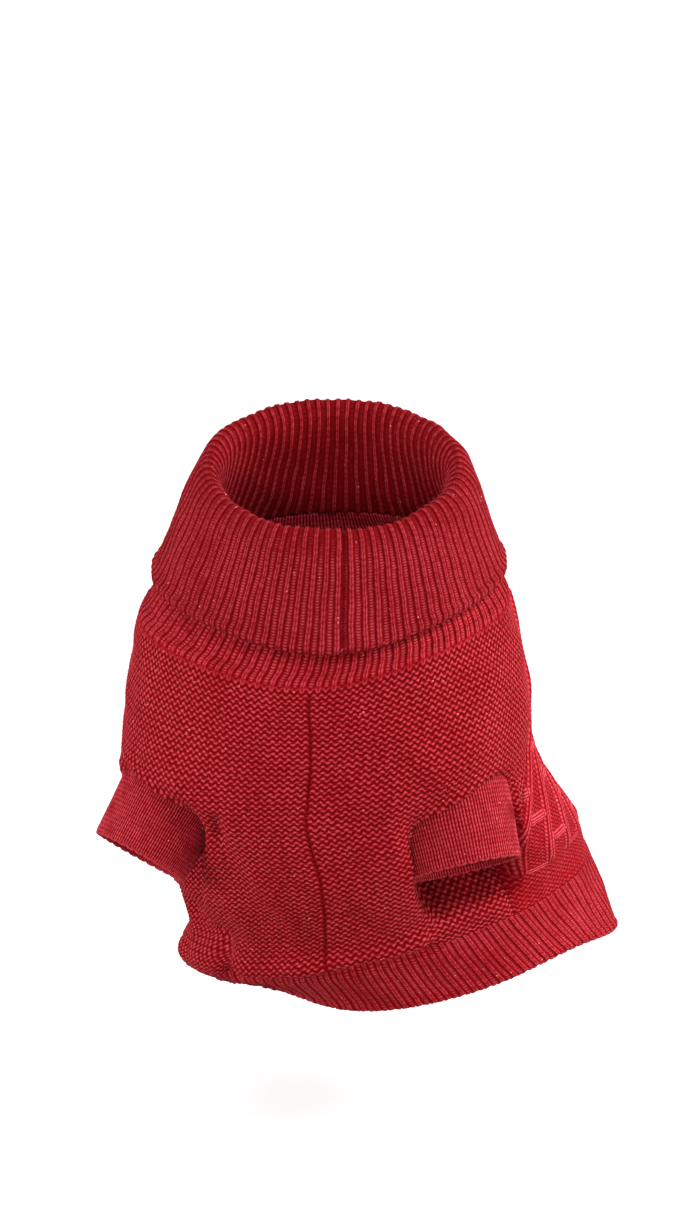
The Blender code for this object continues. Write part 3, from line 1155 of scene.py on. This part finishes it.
class WallBuilder:
    """Collects the points and faces of a closed wall and writes them as a mesh."""

    def __init__(self) -> None:
        """Start with nothing."""
        self.points: dict[str, list[Array]] = {
            key: [] for key in ("place", "knit_place", "outward", "shown")
        }
        self.faces: list[tuple[int, ...]] = []
        self.count = 0

    def add_grid(
        self, points: Array, normals: Array, wales: Array, courses: Array, shown: float, same: Array
    ) -> Array:
        """Add a grid of points.

        Args:
            points: The places, rows by columns by 3.
            normals: The way out at each of them.
            wales: The wale coordinate at each of them.
            courses: The course coordinate at each of them.
            shown: 1 where the relief applies, on the shown face, and 0 on the hidden one.
            same: For each point, the column in its row that it is one with.

        Returns:
            The number of each point in the mesh.
        """
        own = same == np.arange(same.shape[1])[None, :]
        numbers = np.cumsum(own.ravel()) - 1 + self.count
        knit_place = np.stack([wales, courses, np.zeros_like(wales)], -1)
        values = (points, knit_place, normals, np.full(same.shape, shown))
        for stored, value in zip(self.points.values(), values):
            stored.append(value[own])
        self.count += int(own.sum())
        return np.take_along_axis(numbers.reshape(same.shape), same, axis=1)

    def add_face(self, *corners: int) -> None:
        """Add a face, without the corners that fall together."""
        kept = tuple(dict.fromkeys(corners))
        if len(kept) > 2:
            self.faces.append(kept)

    def add_faces(self, ids: Array, closed: bool) -> None:
        """Add the faces between the rows of a grid, whole ones first.

        Args:
            ids: The points' numbers, rows by columns.
            closed: Whether the rows are rings.
        """
        ring = np.concatenate([ids, ids[:, :1]], 1) if closed else ids
        quads = np.stack([ring[:-1, :-1], ring[1:, :-1], ring[1:, 1:], ring[:-1, 1:]], -1)
        for quad in sorted(quads.reshape(-1, 4).tolist(), key=lambda q: len(set(q)) < 4):
            self.add_face(*quad)

    def add_rim(self, fine: Array, coarse: Array, ratio: int, closed: bool) -> None:
        """Add the strip between a fine edge and a coarse one.

        Args:
            fine: The points' numbers along the fine edge.
            coarse: Those along the coarse edge.
            ratio: How many steps of the fine edge lie along one step of the coarse edge.
            closed: Whether the edges are rings.
        """
        fine, coarse = fine.tolist(), coarse.tolist()
        turn_over = (ratio + 1) // 2
        for i in range(len(coarse) if closed else len(coarse) - 1):
            here, there = coarse[i], coarse[(i + 1) % len(coarse)]
            edge = [fine[(i * ratio + k) % len(fine)] for k in range(ratio + 1)]
            for k in range(ratio):
                self.add_face(edge[k], edge[k + 1], here if k < turn_over else there)
            self.add_face(edge[turn_over], there, here)

    def mesh(self, name: str, around: float) -> Mesh:
        """The wall as a mesh with its attributes and its knit map.

        Args:
            name: The mesh's name.
            around: The wales in a whole turn, or 0 where the wall has two side edges.

        Returns:
            The mesh, with its faces pointing outwards.
        """
        values = {key: np.concatenate(stored) for key, stored in self.points.items()}
        mesh = bpy.data.meshes.new(name)
        mesh.from_pydata((values.pop("place") * MM).tolist(), [], self.faces)
        write_attributes(mesh, **values)
        bm = bmesh.new()
        bm.from_mesh(mesh)
        bmesh.ops.recalc_face_normals(bm, faces=bm.faces)
        bm.to_mesh(mesh)
        bm.free()
        self.write_map(mesh, values["knit_place"], around)
        return mesh

    @staticmethod
    def write_map(mesh: Mesh, places: Array, around: float) -> None:
        """Write the knit map, unbroken where a ring closes.

        Args:
            mesh: The wall's mesh.
            places: The wale and the course coordinate of each point.
            around: The wales in a whole turn, or 0 where the wall has two side edges.
        """
        corners = read(mesh.loops, "vertex_index", np.int32)
        across, down = places[corners, 0], places[corners, 1]
        if around:
            starts = read(mesh.polygons, "loop_start", np.int32)
            sizes = read(mesh.polygons, "loop_total", np.int32)
            most = np.repeat(np.maximum.reduceat(across, starts), sizes)
            across = np.where(most - across > around / 2, across + around, across)
        layer = mesh.uv_layers.new(name=KNIT_MAP)
        layer.data.foreach_set("uv", np.stack([across, down], -1).astype(np.float32).ravel())


def cut_armhole(obj: Object, sleeve: SleeveForm) -> None:
    """Cut a wall where a sleeve passes through it.

    Args:
        obj: The wall.
        sleeve: The sleeve.
    """
    clearance, beyond, sides = 0.06, 3.0, 128
    bm = bmesh.new()
    rows = []
    around = np.arange(sides) * 360.0 / sides
    for level in (-sleeve.tuck - clearance, sleeve.length + beyond):
        ring = sleeve(level, around)
        centre = ring.mean(axis=0)
        reach = np.linalg.norm(ring - centre, axis=1, keepdims=True)
        wider = centre + (ring - centre) * (1 + clearance / reach)
        rows.append([bm.verts.new(point * MM) for point in wider])
    for k in range(sides):
        j = (k + 1) % sides
        bm.faces.new((rows[0][k], rows[1][k], rows[1][j], rows[0][j]))
    for row in rows:
        bm.faces.new(row)
    bmesh.ops.recalc_face_normals(bm, faces=bm.faces)
    mesh = bpy.data.meshes.new("armhole")
    bm.to_mesh(mesh)
    bm.free()
    cutter = new_object("armhole", mesh)
    modifier = obj.modifiers.new("armhole", "BOOLEAN")
    modifier.operation = "DIFFERENCE"
    modifier.solver = "EXACT"
    modifier.object = cutter
    keep_result(obj)
    bpy.data.objects.remove(cutter)


# --- Loose fibres and edge stitches ----------------------------------------------------------


@dataclass(frozen=True)
class Fuzz:
    """The loose fibres of one knitted piece."""

    density: float = 150000.0
    length: float = 2.0
    radius: float = 0.05
    seed: int = 7

    def build(self, wall: Object, finish: Material) -> Object:
        """Grow the fibres on a wall.

        Args:
            wall: The wall, with its stitches raised.
            finish: The fibres' material.

        Returns:
            The fibres, as an object of their own.
        """
        obj = new_object(wall.name.replace("knit_", "fuzz_"), wall.data.copy())
        FuzzTree(f"{obj.name}_fibres").apply(
            obj,
            Density=self.density,
            Length=self.length * MM,
            Radius=self.radius * MM,
            Seed=self.seed,
            Finish=finish,
        )
        report(obj)
        return obj


@dataclass(frozen=True)
class EdgeChain:
    """A row of rounded stitches round a surface at one level, sunk into it by a depth."""

    name: str
    surface: Surface
    level: float
    count: int
    depth: float
    stitch: Triple = (1.75, 0.95, 0.85)
    lean: float = 0.35

    def build(self, finish: Material) -> Object:
        """Set the stitches, each leaning the other way from the last.

        Args:
            finish: Their material.

        Returns:
            The row, as an object.
        """
        angles = (np.arange(self.count) + 0.5) * 360.0 / self.count
        levels = np.full(self.count, self.level)
        outward = surface_normal(self.surface, levels, angles)
        path = self.surface(levels, angles) - outward * self.depth
        tangent = np.roll(path, -1, 0) - np.roll(path, 1, 0)
        tips = self.lean * np.where(np.arange(self.count) % 2, 1.0, -1.0)
        turns = []
        for way, out, tip in zip(tangent, outward, tips):
            along = Vector(way).normalized()
            normal = Vector(out) - along * along.dot(Vector(out))
            normal.normalize()
            tipped = along * math.cos(tip) + normal.cross(along) * math.sin(tip)
            matrix = Matrix((tipped, normal.cross(tipped), normal)).transposed()
            turns.append(tuple(matrix.to_euler()))
        mesh = bpy.data.meshes.new(self.name)
        mesh.from_pydata((path * MM).tolist(), [], [])
        sizes = np.tile(np.array(self.stitch) * MM, (self.count, 1))
        write_attributes(mesh, turn=np.array(turns), size=sizes)
        obj = new_object(self.name, mesh)
        ChainTree(f"{self.name}_row").apply(obj, Finish=finish)
        report(obj)
        return obj


# --- The knitted pieces ----------------------------------------------------------------------


@dataclass
class KnittedPiece:
    """A knitted piece: a closed wall with raised stitches on its shown face."""

    name: str
    node: str
    slot: str
    form: Surface
    finish: WoolFinish
    inside: WoolFinish
    sleeves: tuple[SleeveForm, ...] = ()
    cloth: float = 2.2
    form_height: float = 0.7
    stitch_height: float = 0.5
    sink: float = 0.3
    hidden_every: tuple[int, int] = (8, 5)
    round_end: bool = False
    wave_height: float = 0.7
    wave_length: float = 34.0
    wave_phase: float = 0.7
    meander: float = 0.10
    meander_length: float = 22.0
    meander_phase: float = 2.1

    def rows(self) -> tuple[Array, Array]:
        """The level and the course coordinate of each row of points."""
        raise NotImplementedError

    def columns(self, level: float) -> tuple[Array, Array]:
        """Where the columns of points run.

        Args:
            level: The level at which they are asked for.

        Returns:
            The angle and the wale coordinate of each column.
        """
        raise NotImplementedError

    def around(self) -> float:
        """The wales in a whole turn, or 0 where the wall has two side edges."""
        return 0.0

    def seams(self, levels: Array, angles: Array, to_end: Array) -> list[Groove]:
        """The grooves and ridges of the seams and edges.

        Args:
            levels: The level of each point.
            angles: Its angle.
            to_end: Its distance from the lower edge.

        Returns:
            The grooves, and the ridges as grooves with a height above 0.
        """
        return []

    def chains(self) -> list[EdgeChain]:
        """The rows of stitches along the piece's edges."""
        return []

    def shaping(self, levels: Array, angles: Array, points: Array) -> Array:
        """How far the shown face stands off, for edges and seams.

        Args:
            levels: The level of each point of the grid.
            angles: Its angle.
            points: Its place.

        Returns:
            One distance for each point.
        """
        edge_reach, edge_share = 1.3, 0.98
        steps = np.linalg.norm(np.diff(points, axis=0), axis=-1)
        lengths = np.concatenate([np.zeros((1, angles.shape[1])), np.cumsum(steps, 0)])
        to_end = lengths[-1:] - lengths
        moved = np.zeros_like(angles)
        if self.round_end:
            away = np.clip(1 - to_end / edge_reach, 0.0, 1.0)
            moved = moved - edge_reach * (1 - np.sqrt(1 - away**2 * edge_share))
        for distance, height, reach in self.seams(levels, angles, to_end):
            moved = moved + height * hill(distance, reach)
        return moved

    def waves(self, points: Array) -> Array:
        """How far each point of a grid moves along its normal, for waves and creases."""
        waves = unevenness(points, self.wave_length, self.wave_phase) * self.wave_height
        if self.form is BODY_FORM:
            waves = waves + sum(crease(points) for crease in CREASES)
            waves = waves + sum(armhole_roll(points, sleeve) for sleeve in SLEEVES)
        return waves

    def wall(self) -> tuple[Object, Array]:
        """The smooth wall, cut at the armholes, and the grid of points that it is made from."""
        levels, courses = self.rows()
        columns = [self.columns(level) for level in levels]
        angles, wales = (np.stack([column[k] for column in columns]) for k in range(2))
        levels = np.repeat(levels[:, None], angles.shape[1], 1)
        courses = np.repeat(courses[:, None], angles.shape[1], 1)
        points = self.form(levels, angles)
        normals = surface_normal(self.form, levels, angles)
        moved = self.shaping(levels, angles, points)
        points = points + normals * self.waves(points)[..., None]
        shown_points = points + normals * moved[..., None]
        drift = unevenness(points, self.meander_length, self.meander_phase)
        wales = wales + drift * self.meander

        builder = WallBuilder()
        outer = builder.add_grid(shown_points, normals, wales, courses, 1.0, merged(angles))
        down, across = self.hidden_every
        pick = (slice(None, None, down), slice(None, None, across))
        hidden = (points - normals * self.cloth, normals, wales, courses)
        inner = builder.add_grid(*(part[pick] for part in hidden), 0.0, merged(angles[pick]))
        closed = self.around() > 0
        builder.add_faces(outer, closed)
        builder.add_faces(inner, closed)
        for end in (0, -1):
            builder.add_rim(outer[end], inner[end], across, closed)
            if not closed:
                builder.add_rim(outer[:, end], inner[:, end], down, False)
        obj = new_object(self.name, builder.mesh(self.name, self.around()))
        for sleeve in self.sleeves:
            cut_armhole(obj, sleeve)
        return obj, points

    def flat_size(self, wall: Object, points: Array) -> tuple[float, float, float]:
        """Measure the flat cloth.

        Args:
            wall: The wall before its stitches are raised.
            points: The grid that it was made from, in millimetres.

        Returns:
            Its greatest width and length in metres, and its area in square metres.
        """
        ring = np.concatenate([points, points[:, :1]], 1) if self.around() else points
        width = float(np.linalg.norm(np.diff(ring, axis=1), axis=-1).sum(1).max()) * MM
        length = float(np.linalg.norm(np.diff(points, axis=0), axis=-1).sum(0).max()) * MM
        shown = read(wall.data.attributes["shown"].data, "value", np.float32) > 0.5
        area = sum(face.area for face in wall.data.polygons if all(shown[list(face.vertices)]))
        return width, length, min(area, width * length)

    def build(self, fibres: Material, yarn: Material) -> None:
        """Build the piece with its fibres and edge stitches.

        Args:
            fibres: The finish of its loose fibres.
            yarn: The finish of its edge stitches.
        """
        obj, points = self.wall()
        width, length, area = self.flat_size(obj, points)
        ReliefTree(f"{self.name}_relief", self.finish.knitting).apply(
            obj,
            Form_Height=self.form_height * MM,
            Stitch_Height=self.stitch_height * MM,
            Sink=self.sink * MM,
            Outside=self.finish.material(),
            Inside=self.inside.material(),
        )
        report(obj)
        trimmings = [Fuzz().build(obj, fibres)]
        trimmings += [chain.build(yarn) for chain in self.chains()]
        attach(obj, BODY_NAME)
        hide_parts(self.node)
        for trimming in trimmings:
            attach(trimming, BODY_NAME)


def merged(angles: Array) -> Array:
    """Find the columns that fall together.

    Args:
        angles: The angle of each point of a grid.

    Returns:
        For each point, the first column in its row with the same angle.
    """
    least_gap = 1e-9
    same = np.repeat(np.arange(angles.shape[1])[None, :], angles.shape[0], 0)
    for k in range(1, angles.shape[1]):
        twin = np.abs(angles[:, k] - angles[:, k - 1]) < least_gap
        same[twin, k] = same[twin, k - 1]
    return same


@dataclass
class Ring(KnittedPiece):
    """A closed ring, whose columns may lean by a twist from its start to its end."""

    wales: int = 60
    columns_per_wale: int = 4
    rows_per_course: int = 4
    course: float = 2.0
    start: float = 0.0
    end: float = 1.0
    twist: float = 0.0

    def columns(self, level: float) -> tuple[Array, Array]:
        """The angle and the wale coordinate of each column."""
        count = self.wales * self.columns_per_wale
        place = np.arange(count) / count
        turned = self.twist * (level - self.start) / (self.end - self.start)
        return (place * 360.0 + turned) % 360.0, place * self.wales

    def around(self) -> float:
        """The wales in a whole turn."""
        return float(self.wales)


@dataclass
class RibbedRing(Ring):
    """A ring of ribs, each of a plain wale and a purl one."""

    measured_at: float = 20.0
    hidden_until: float | None = None
    hidden_rows_per_course: float = 1.5
    seam_at: float | None = None
    seam_radius: float = 68.0
    sewn_seam: tuple[float, float] = (-1.6, 0.9)
    lip_height: float = 0.0
    lip_place: float = 2.6
    lip_reach: float = 1.9

    def rows(self) -> tuple[Array, Array]:
        """The level and the course coordinate of each row, sparser where they are hidden."""
        fine, length = measured_levels(self.form, self.start, self.end, self.measured_at)
        courses = round(length[-1] / self.course)
        down = self.hidden_every[0]
        split_at = 0.0
        if self.hidden_until is not None:
            split_at = float(np.interp(self.hidden_until, fine, length)) / length[-1] * courses
        before = round(split_at * self.hidden_rows_per_course / down) * down
        after = max(1, round((courses - split_at) * self.rows_per_course / down)) * down
        hidden = np.linspace(0.0, split_at, before, endpoint=False)
        marks = np.concatenate([hidden, np.linspace(split_at, courses, after + 1)])
        return np.interp(marks / courses * length[-1], length, fine), marks

    def seams(self, levels: Array, angles: Array, to_end: Array) -> list[Groove]:
        """The groove of the sewn seam and the lip that the free edge rolls into."""
        lip = (to_end - self.lip_place, self.lip_height, self.lip_reach)
        if self.seam_at is None:
            return [lip]
        distance = np.radians(angles - self.seam_at) * self.seam_radius
        return [(distance, *self.sewn_seam), lip]

    def chains(self) -> list[EdgeChain]:
        """Two rows of stitches bind off the free edge."""
        if not self.round_end:
            return []
        rows = (("edge_outer", 0.35, 0.012), ("edge_inner", 1.65, 0.008))
        return [
            EdgeChain(
                self.name.replace("knit", name),
                self.form,
                self.end - short * (self.end - self.start),
                self.wales,
                depth,
            )
            for name, depth, short in rows
        ]


@dataclass
class Panel(KnittedPiece):
    """A piece of the torso with two side edges, from the neck base to the hem."""

    seam_radius: float = 80.0
    side_seam: tuple[float, float] = (-1.2, 1.6)

    def even_rows(self, count: int, courses: int, angle: float) -> tuple[Array, Array]:
        """Space rows evenly from the neck base to the hem.

        Args:
            count: How many rows.
            courses: The course coordinate of the last of them.
            angle: The angle at which they are evenly spaced.

        Returns:
            The level and the course coordinate of each row.
        """
        fine, length = measured_levels(self.form, NECK_BASE, HEM_TOP, angle)
        marks = np.linspace(0.0, length[-1], count)
        return np.interp(marks, length, fine), np.linspace(0.0, courses, count)


@dataclass
class ChestHalf(Panel):
    """One half of the front."""

    side: Side = Side.LEFT
    wales_around: int = 152
    columns_per_wale: int = 4
    rows_per_course: int = 7
    course: float = 2.9
    measured_at: float = 22.0
    centre_seam: tuple[float, float] = (-0.55, 1.2)

    def rows(self) -> tuple[Array, Array]:
        """The level and the course coordinate of each row of points."""
        angle = self.side.value * self.measured_at
        length = measured_levels(self.form, NECK_BASE, HEM_TOP, angle)[1][-1]
        courses = round(length / self.course)
        return self.even_rows(courses * self.rows_per_course + 1, courses, angle)

    def columns(self, level: float) -> tuple[Array, Array]:
        """The angle and the wale coordinate of each column, held back at the side seam."""
        reach = float(side_angle(level, self.side))
        step = 360.0 / self.wales_around / self.columns_per_wale
        down = self.hidden_every[1]
        widest = max(getattr(point, self.side.label) for point in SIDE_LINE)
        count = math.ceil(widest / step / down) * down + 1
        angles = self.side.value * np.minimum(np.arange(count) * step, reach)
        return angles, angles / 360.0 * self.wales_around

    def seams(self, levels: Array, angles: Array, to_end: Array) -> list[Groove]:
        """The grooves of the centre-front seam and the side seam."""
        from_side = side_angle(levels, self.side) - np.abs(angles)
        return [
            (np.radians(np.abs(angles)) * self.seam_radius, *self.centre_seam),
            (np.radians(from_side) * self.seam_radius, *self.side_seam),
        ]


@dataclass
class BackPanel(Panel):
    """The cabled back."""

    cables: int = 18
    steps: int = 9
    columns_per_wale: int = 3
    rows_per_course: int = 3

    def rows(self) -> tuple[Array, Array]:
        """The level and the course coordinate of each row of points."""
        courses = round(self.steps * self.finish.knitting.cable_step)
        return self.even_rows(courses * self.rows_per_course + 1, courses, 180.0)

    def columns(self, level: float) -> tuple[Array, Array]:
        """The angle and the wale coordinate of each column."""
        start = float(side_angle(level, Side.LEFT))
        end = 360.0 - float(side_angle(level, Side.RIGHT))
        pitch = self.finish.knitting.cable_pitch  # a third of it lies before the first cable
        wales = self.cables * pitch
        place = np.linspace(0.0, 1.0, round(wales * self.columns_per_wale) + 1)
        return start + place * (end - start), place * wales - pitch / 3.0

    def seams(self, levels: Array, angles: Array, to_end: Array) -> list[Groove]:
        """The grooves of the two side seams."""
        start, end = side_angle(levels, Side.LEFT), 360.0 - side_angle(levels, Side.RIGHT)
        return [
            (np.radians(gap) * self.seam_radius, *self.side_seam)
            for gap in (angles - start, end - angles)
        ]


@dataclass
class Sleeve(Ring):
    """A short plain sleeve."""

    def rows(self) -> tuple[Array, Array]:
        """The level and the course coordinate of each row of points."""
        down = self.hidden_every[0]
        courses = round((self.end - self.start) / self.course)
        count = round(courses * self.rows_per_course / down) * down + 1
        return np.linspace(self.start, self.end, count), np.linspace(0.0, courses, count)

    def chains(self) -> list[EdgeChain]:
        """One row of stitches binds off the cuff."""
        name = self.name.replace("knit", "edge")
        level, depth, stitch = self.end - 0.3, 1.0, (1.5, 0.75, 0.95)
        return [EdgeChain(name, self.form, level, self.wales, depth, stitch)]


@dataclass(frozen=True)
class Sweater:
    """The whole garment."""

    neck_ribs: int = 76
    hem_ribs: int = 96
    collar_seam: float = 4.5
    hem_twist: float = 5.5

    def pieces(self) -> list[KnittedPiece]:
        """Every knitted piece, from the collar down."""
        plain = Knitting(Stitch.PLAIN, bead_share=0.34)
        lining = WoolFinish("inside_plain", plain, bump_depth=0.5)
        purl = Knitting(Stitch.PURL, wobble=0.34, seam_wale=0.0)
        collar = RibbedRing(
            "knit_collar", "collar", "collar_rib", COLLAR_FORM, self.collar_wool(), lining,
            wales=2 * self.neck_ribs, start=COLLAR_BASE, end=COLLAR_EDGE, course=2.6,
            rows_per_course=5, columns_per_wale=4, hidden_every=(5, 8), round_end=True,
            hidden_until=3.4, seam_at=self.collar_seam, lip_height=1.2,
        )
        neck_wool = WoolFinish("neck_wool", Knitting(Stitch.RIB, fade=(6.8, 8.4)))
        neck_band = RibbedRing(
            "knit_neck_band", "neck_band", "neck_rib", BODY_FORM, neck_wool, lining,
            wales=2 * self.neck_ribs, start=NECK_TOP, end=NECK_BASE, course=2.9,
            rows_per_course=7, columns_per_wale=4, hidden_every=(7, 8), meander=0.03,
        )
        chest = [
            ChestHalf(
                f"knit_chest_{side.label}", f"chest_{side.label}", f"chest_{side.label}_purl",
                BODY_FORM, WoolFinish(f"chest_{side.label}_wool", purl), lining,
                sleeves=(sleeve,), hidden_every=(7, 4), side=side,
            )
            for side, sleeve in zip(Side, SLEEVES)
        ]
        back = BackPanel(
            "knit_back", "back_panel", "back_cable", BODY_FORM, self.back_wool(), lining,
            sleeves=SLEEVES, form_height=1.7, hidden_every=(3, 3),
        )
        hem_wool = WoolFinish("hem_wool", Knitting(Stitch.RIB))
        hem_band = RibbedRing(
            "knit_hem_band", "hem_band", "hem_rib", BODY_FORM, hem_wool, lining,
            wales=2 * self.hem_ribs, start=HEM_TOP, end=HEM_EDGE, course=2.7,
            rows_per_course=5, columns_per_wale=3, hidden_every=(5, 6), round_end=True,
            lip_height=0.6, twist=self.hem_twist,
        )
        sleeves = [
            Sleeve(
                f"knit_{sleeve.name}", sleeve.name, f"{sleeve.name}_plain", sleeve,
                WoolFinish(f"{sleeve.name}_wool", plain), lining,
                start=-sleeve.tuck, end=sleeve.length, hidden_every=(4, 4), round_end=True,
                stitch_height=0.32, wave_height=0.15,
            )
            for sleeve in SLEEVES
        ]
        return [collar, neck_band, *chest, back, hem_band, *sleeves]

    def collar_wool(self) -> WoolFinish:
        """The collar's finish: the body's wool painted darker, as painted shade, on ribs with a
        seam.
        """
        seam_wale = self.collar_seam / 360.0 * 2 * self.neck_ribs
        return WoolFinish(
            "collar_wool",
            Knitting(Stitch.RIB, bead_rise=(17.0, 26.0), seam_wale=seam_wale),
            furrow=(0.145, 0.0001, 0.0004),
            yarn=(0.25, 0.0040, 0.0085),
            crest=(0.48, 0.046, 0.063),
        )

    def back_wool(self) -> WoolFinish:
        """The back's finish: the body's wool painted lighter, as painted light, with more of the
        painted highlight on the cables.
        """
        return WoolFinish(
            "back_wool",
            Knitting(Stitch.CABLE, wobble=0.3),
            furrow=(0.24, 0.0004, 0.0012),
            yarn=(0.40, 0.0080, 0.0160),
            crest=(0.72, 0.078, 0.108),
            form_share=0.12,
        )

    def build(self) -> None:
        """Build and dress every piece."""
        fibres = YarnFinish("fibres", light=(0.68, 0.11, 0.13)).material()
        yarn = YarnFinish("edge_yarn").material()
        for piece in self.pieces():
            piece.build(fibres, yarn)


# --- The studio ------------------------------------------------------------------------------


@dataclass(frozen=True)
class SoftLight:
    """A square lamp that looks at the garment."""

    name: str
    place: Triple
    size: float
    watts: float


@dataclass(frozen=True)
class Studio:
    """The floor, the lamps and the camera, in metres."""

    floor_level: float = -0.245
    floor_size: float = 24.0
    target: Triple = (0.0, -0.070, -0.0175)
    elevation: float = 13.0
    distance: float = 2.6
    focal_pixels: float = 5909.0
    frame_pixels: tuple[float, float] = (679.0, 1231.0)
    target_pixel: tuple[float, float] = (327.0, 700.0)
    sensor: float = 36.0
    room_light: float = 0.62
    lamps: tuple[SoftLight, ...] = (
        SoftLight("key", (0.8, -1.5, 1.8), 0.4, 14.5),
        SoftLight("fill", (-0.5, -1.9, 0.2), 0.35, 7.5),
        SoftLight("rim_right", (1.5, 0.3, 0.9), 0.6, 24.0),
        SoftLight("side_right", (1.7, -0.7, 0.05), 0.4, 10.0),
        SoftLight("rim_left", (-1.6, -0.2, 0.25), 0.6, 15.0),
    )

    def build(self) -> None:
        """Build the studio."""
        self.add_floor()
        self.add_lamps()
        self.add_camera()

    def add_floor(self) -> None:
        """Lay a plain pale floor."""
        half = self.floor_size / 2
        signs = ((-1, -1), (1, -1), (1, 1), (-1, 1))
        corners = [(x * half, y * half, self.floor_level) for x, y in signs]
        mesh = bpy.data.meshes.new("studio_floor")
        mesh.from_pydata(corners, [], [(0, 1, 2, 3)])
        mesh.materials.append(PaleFinish("studio_pale", 0.86).material())
        new_object("studio_floor", mesh)

    def add_lamps(self) -> None:
        """Hang the lamps and light the room evenly."""
        world = bpy.data.worlds.new("studio")
        world.use_nodes = True
        tree = world.node_tree
        strength = camera_ray(tree).times_plus(1.0 - self.room_light, self.room_light)
        feed(tree.nodes["Background"], Color=WHITE, Strength=strength)
        bpy.context.scene.world = world
        for lamp in self.lamps:
            light = bpy.data.lights.new(lamp.name, "AREA")
            light.size = lamp.size
            light.energy = lamp.watts
            obj = new_object(lamp.name, light)
            obj.location = lamp.place
            aim = Vector(self.target) - Vector(lamp.place)
            obj.rotation_euler = aim.to_track_quat("-Z", "Y").to_euler()

    def add_camera(self) -> None:
        """Set the camera so that the target falls on its pixel."""
        tip = math.radians(self.elevation)
        forward = Vector((0.0, math.cos(tip), -math.sin(tip)))
        upward = Vector((0.0, math.sin(tip), math.cos(tip)))
        data = bpy.data.cameras.new("camera")
        data.sensor_width = self.sensor
        data.lens = self.focal_pixels * self.sensor / max(self.frame_pixels)
        camera = new_object("camera", data)
        camera.location = Vector(self.target) - forward * self.distance
        right_shift = (self.frame_pixels[0] / 2 - self.target_pixel[0]) / self.focal_pixels
        up_shift = (self.target_pixel[1] - self.frame_pixels[1] / 2) / self.focal_pixels
        aim = forward + Vector((1.0, 0.0, 0.0)) * right_shift + upward * up_shift
        camera.rotation_euler = aim.to_track_quat("-Z", "Y").to_euler()
        bpy.context.scene.camera = camera


def main() -> None:
    """Build the garment in its studio."""
    logging.basicConfig(level=logging.INFO, format="%(name)s: %(message)s")
    bpy.context.scene.view_settings.view_transform = "Standard"
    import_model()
    Studio().build()
    Sweater().build()


if __name__ == "__main__":
    main()
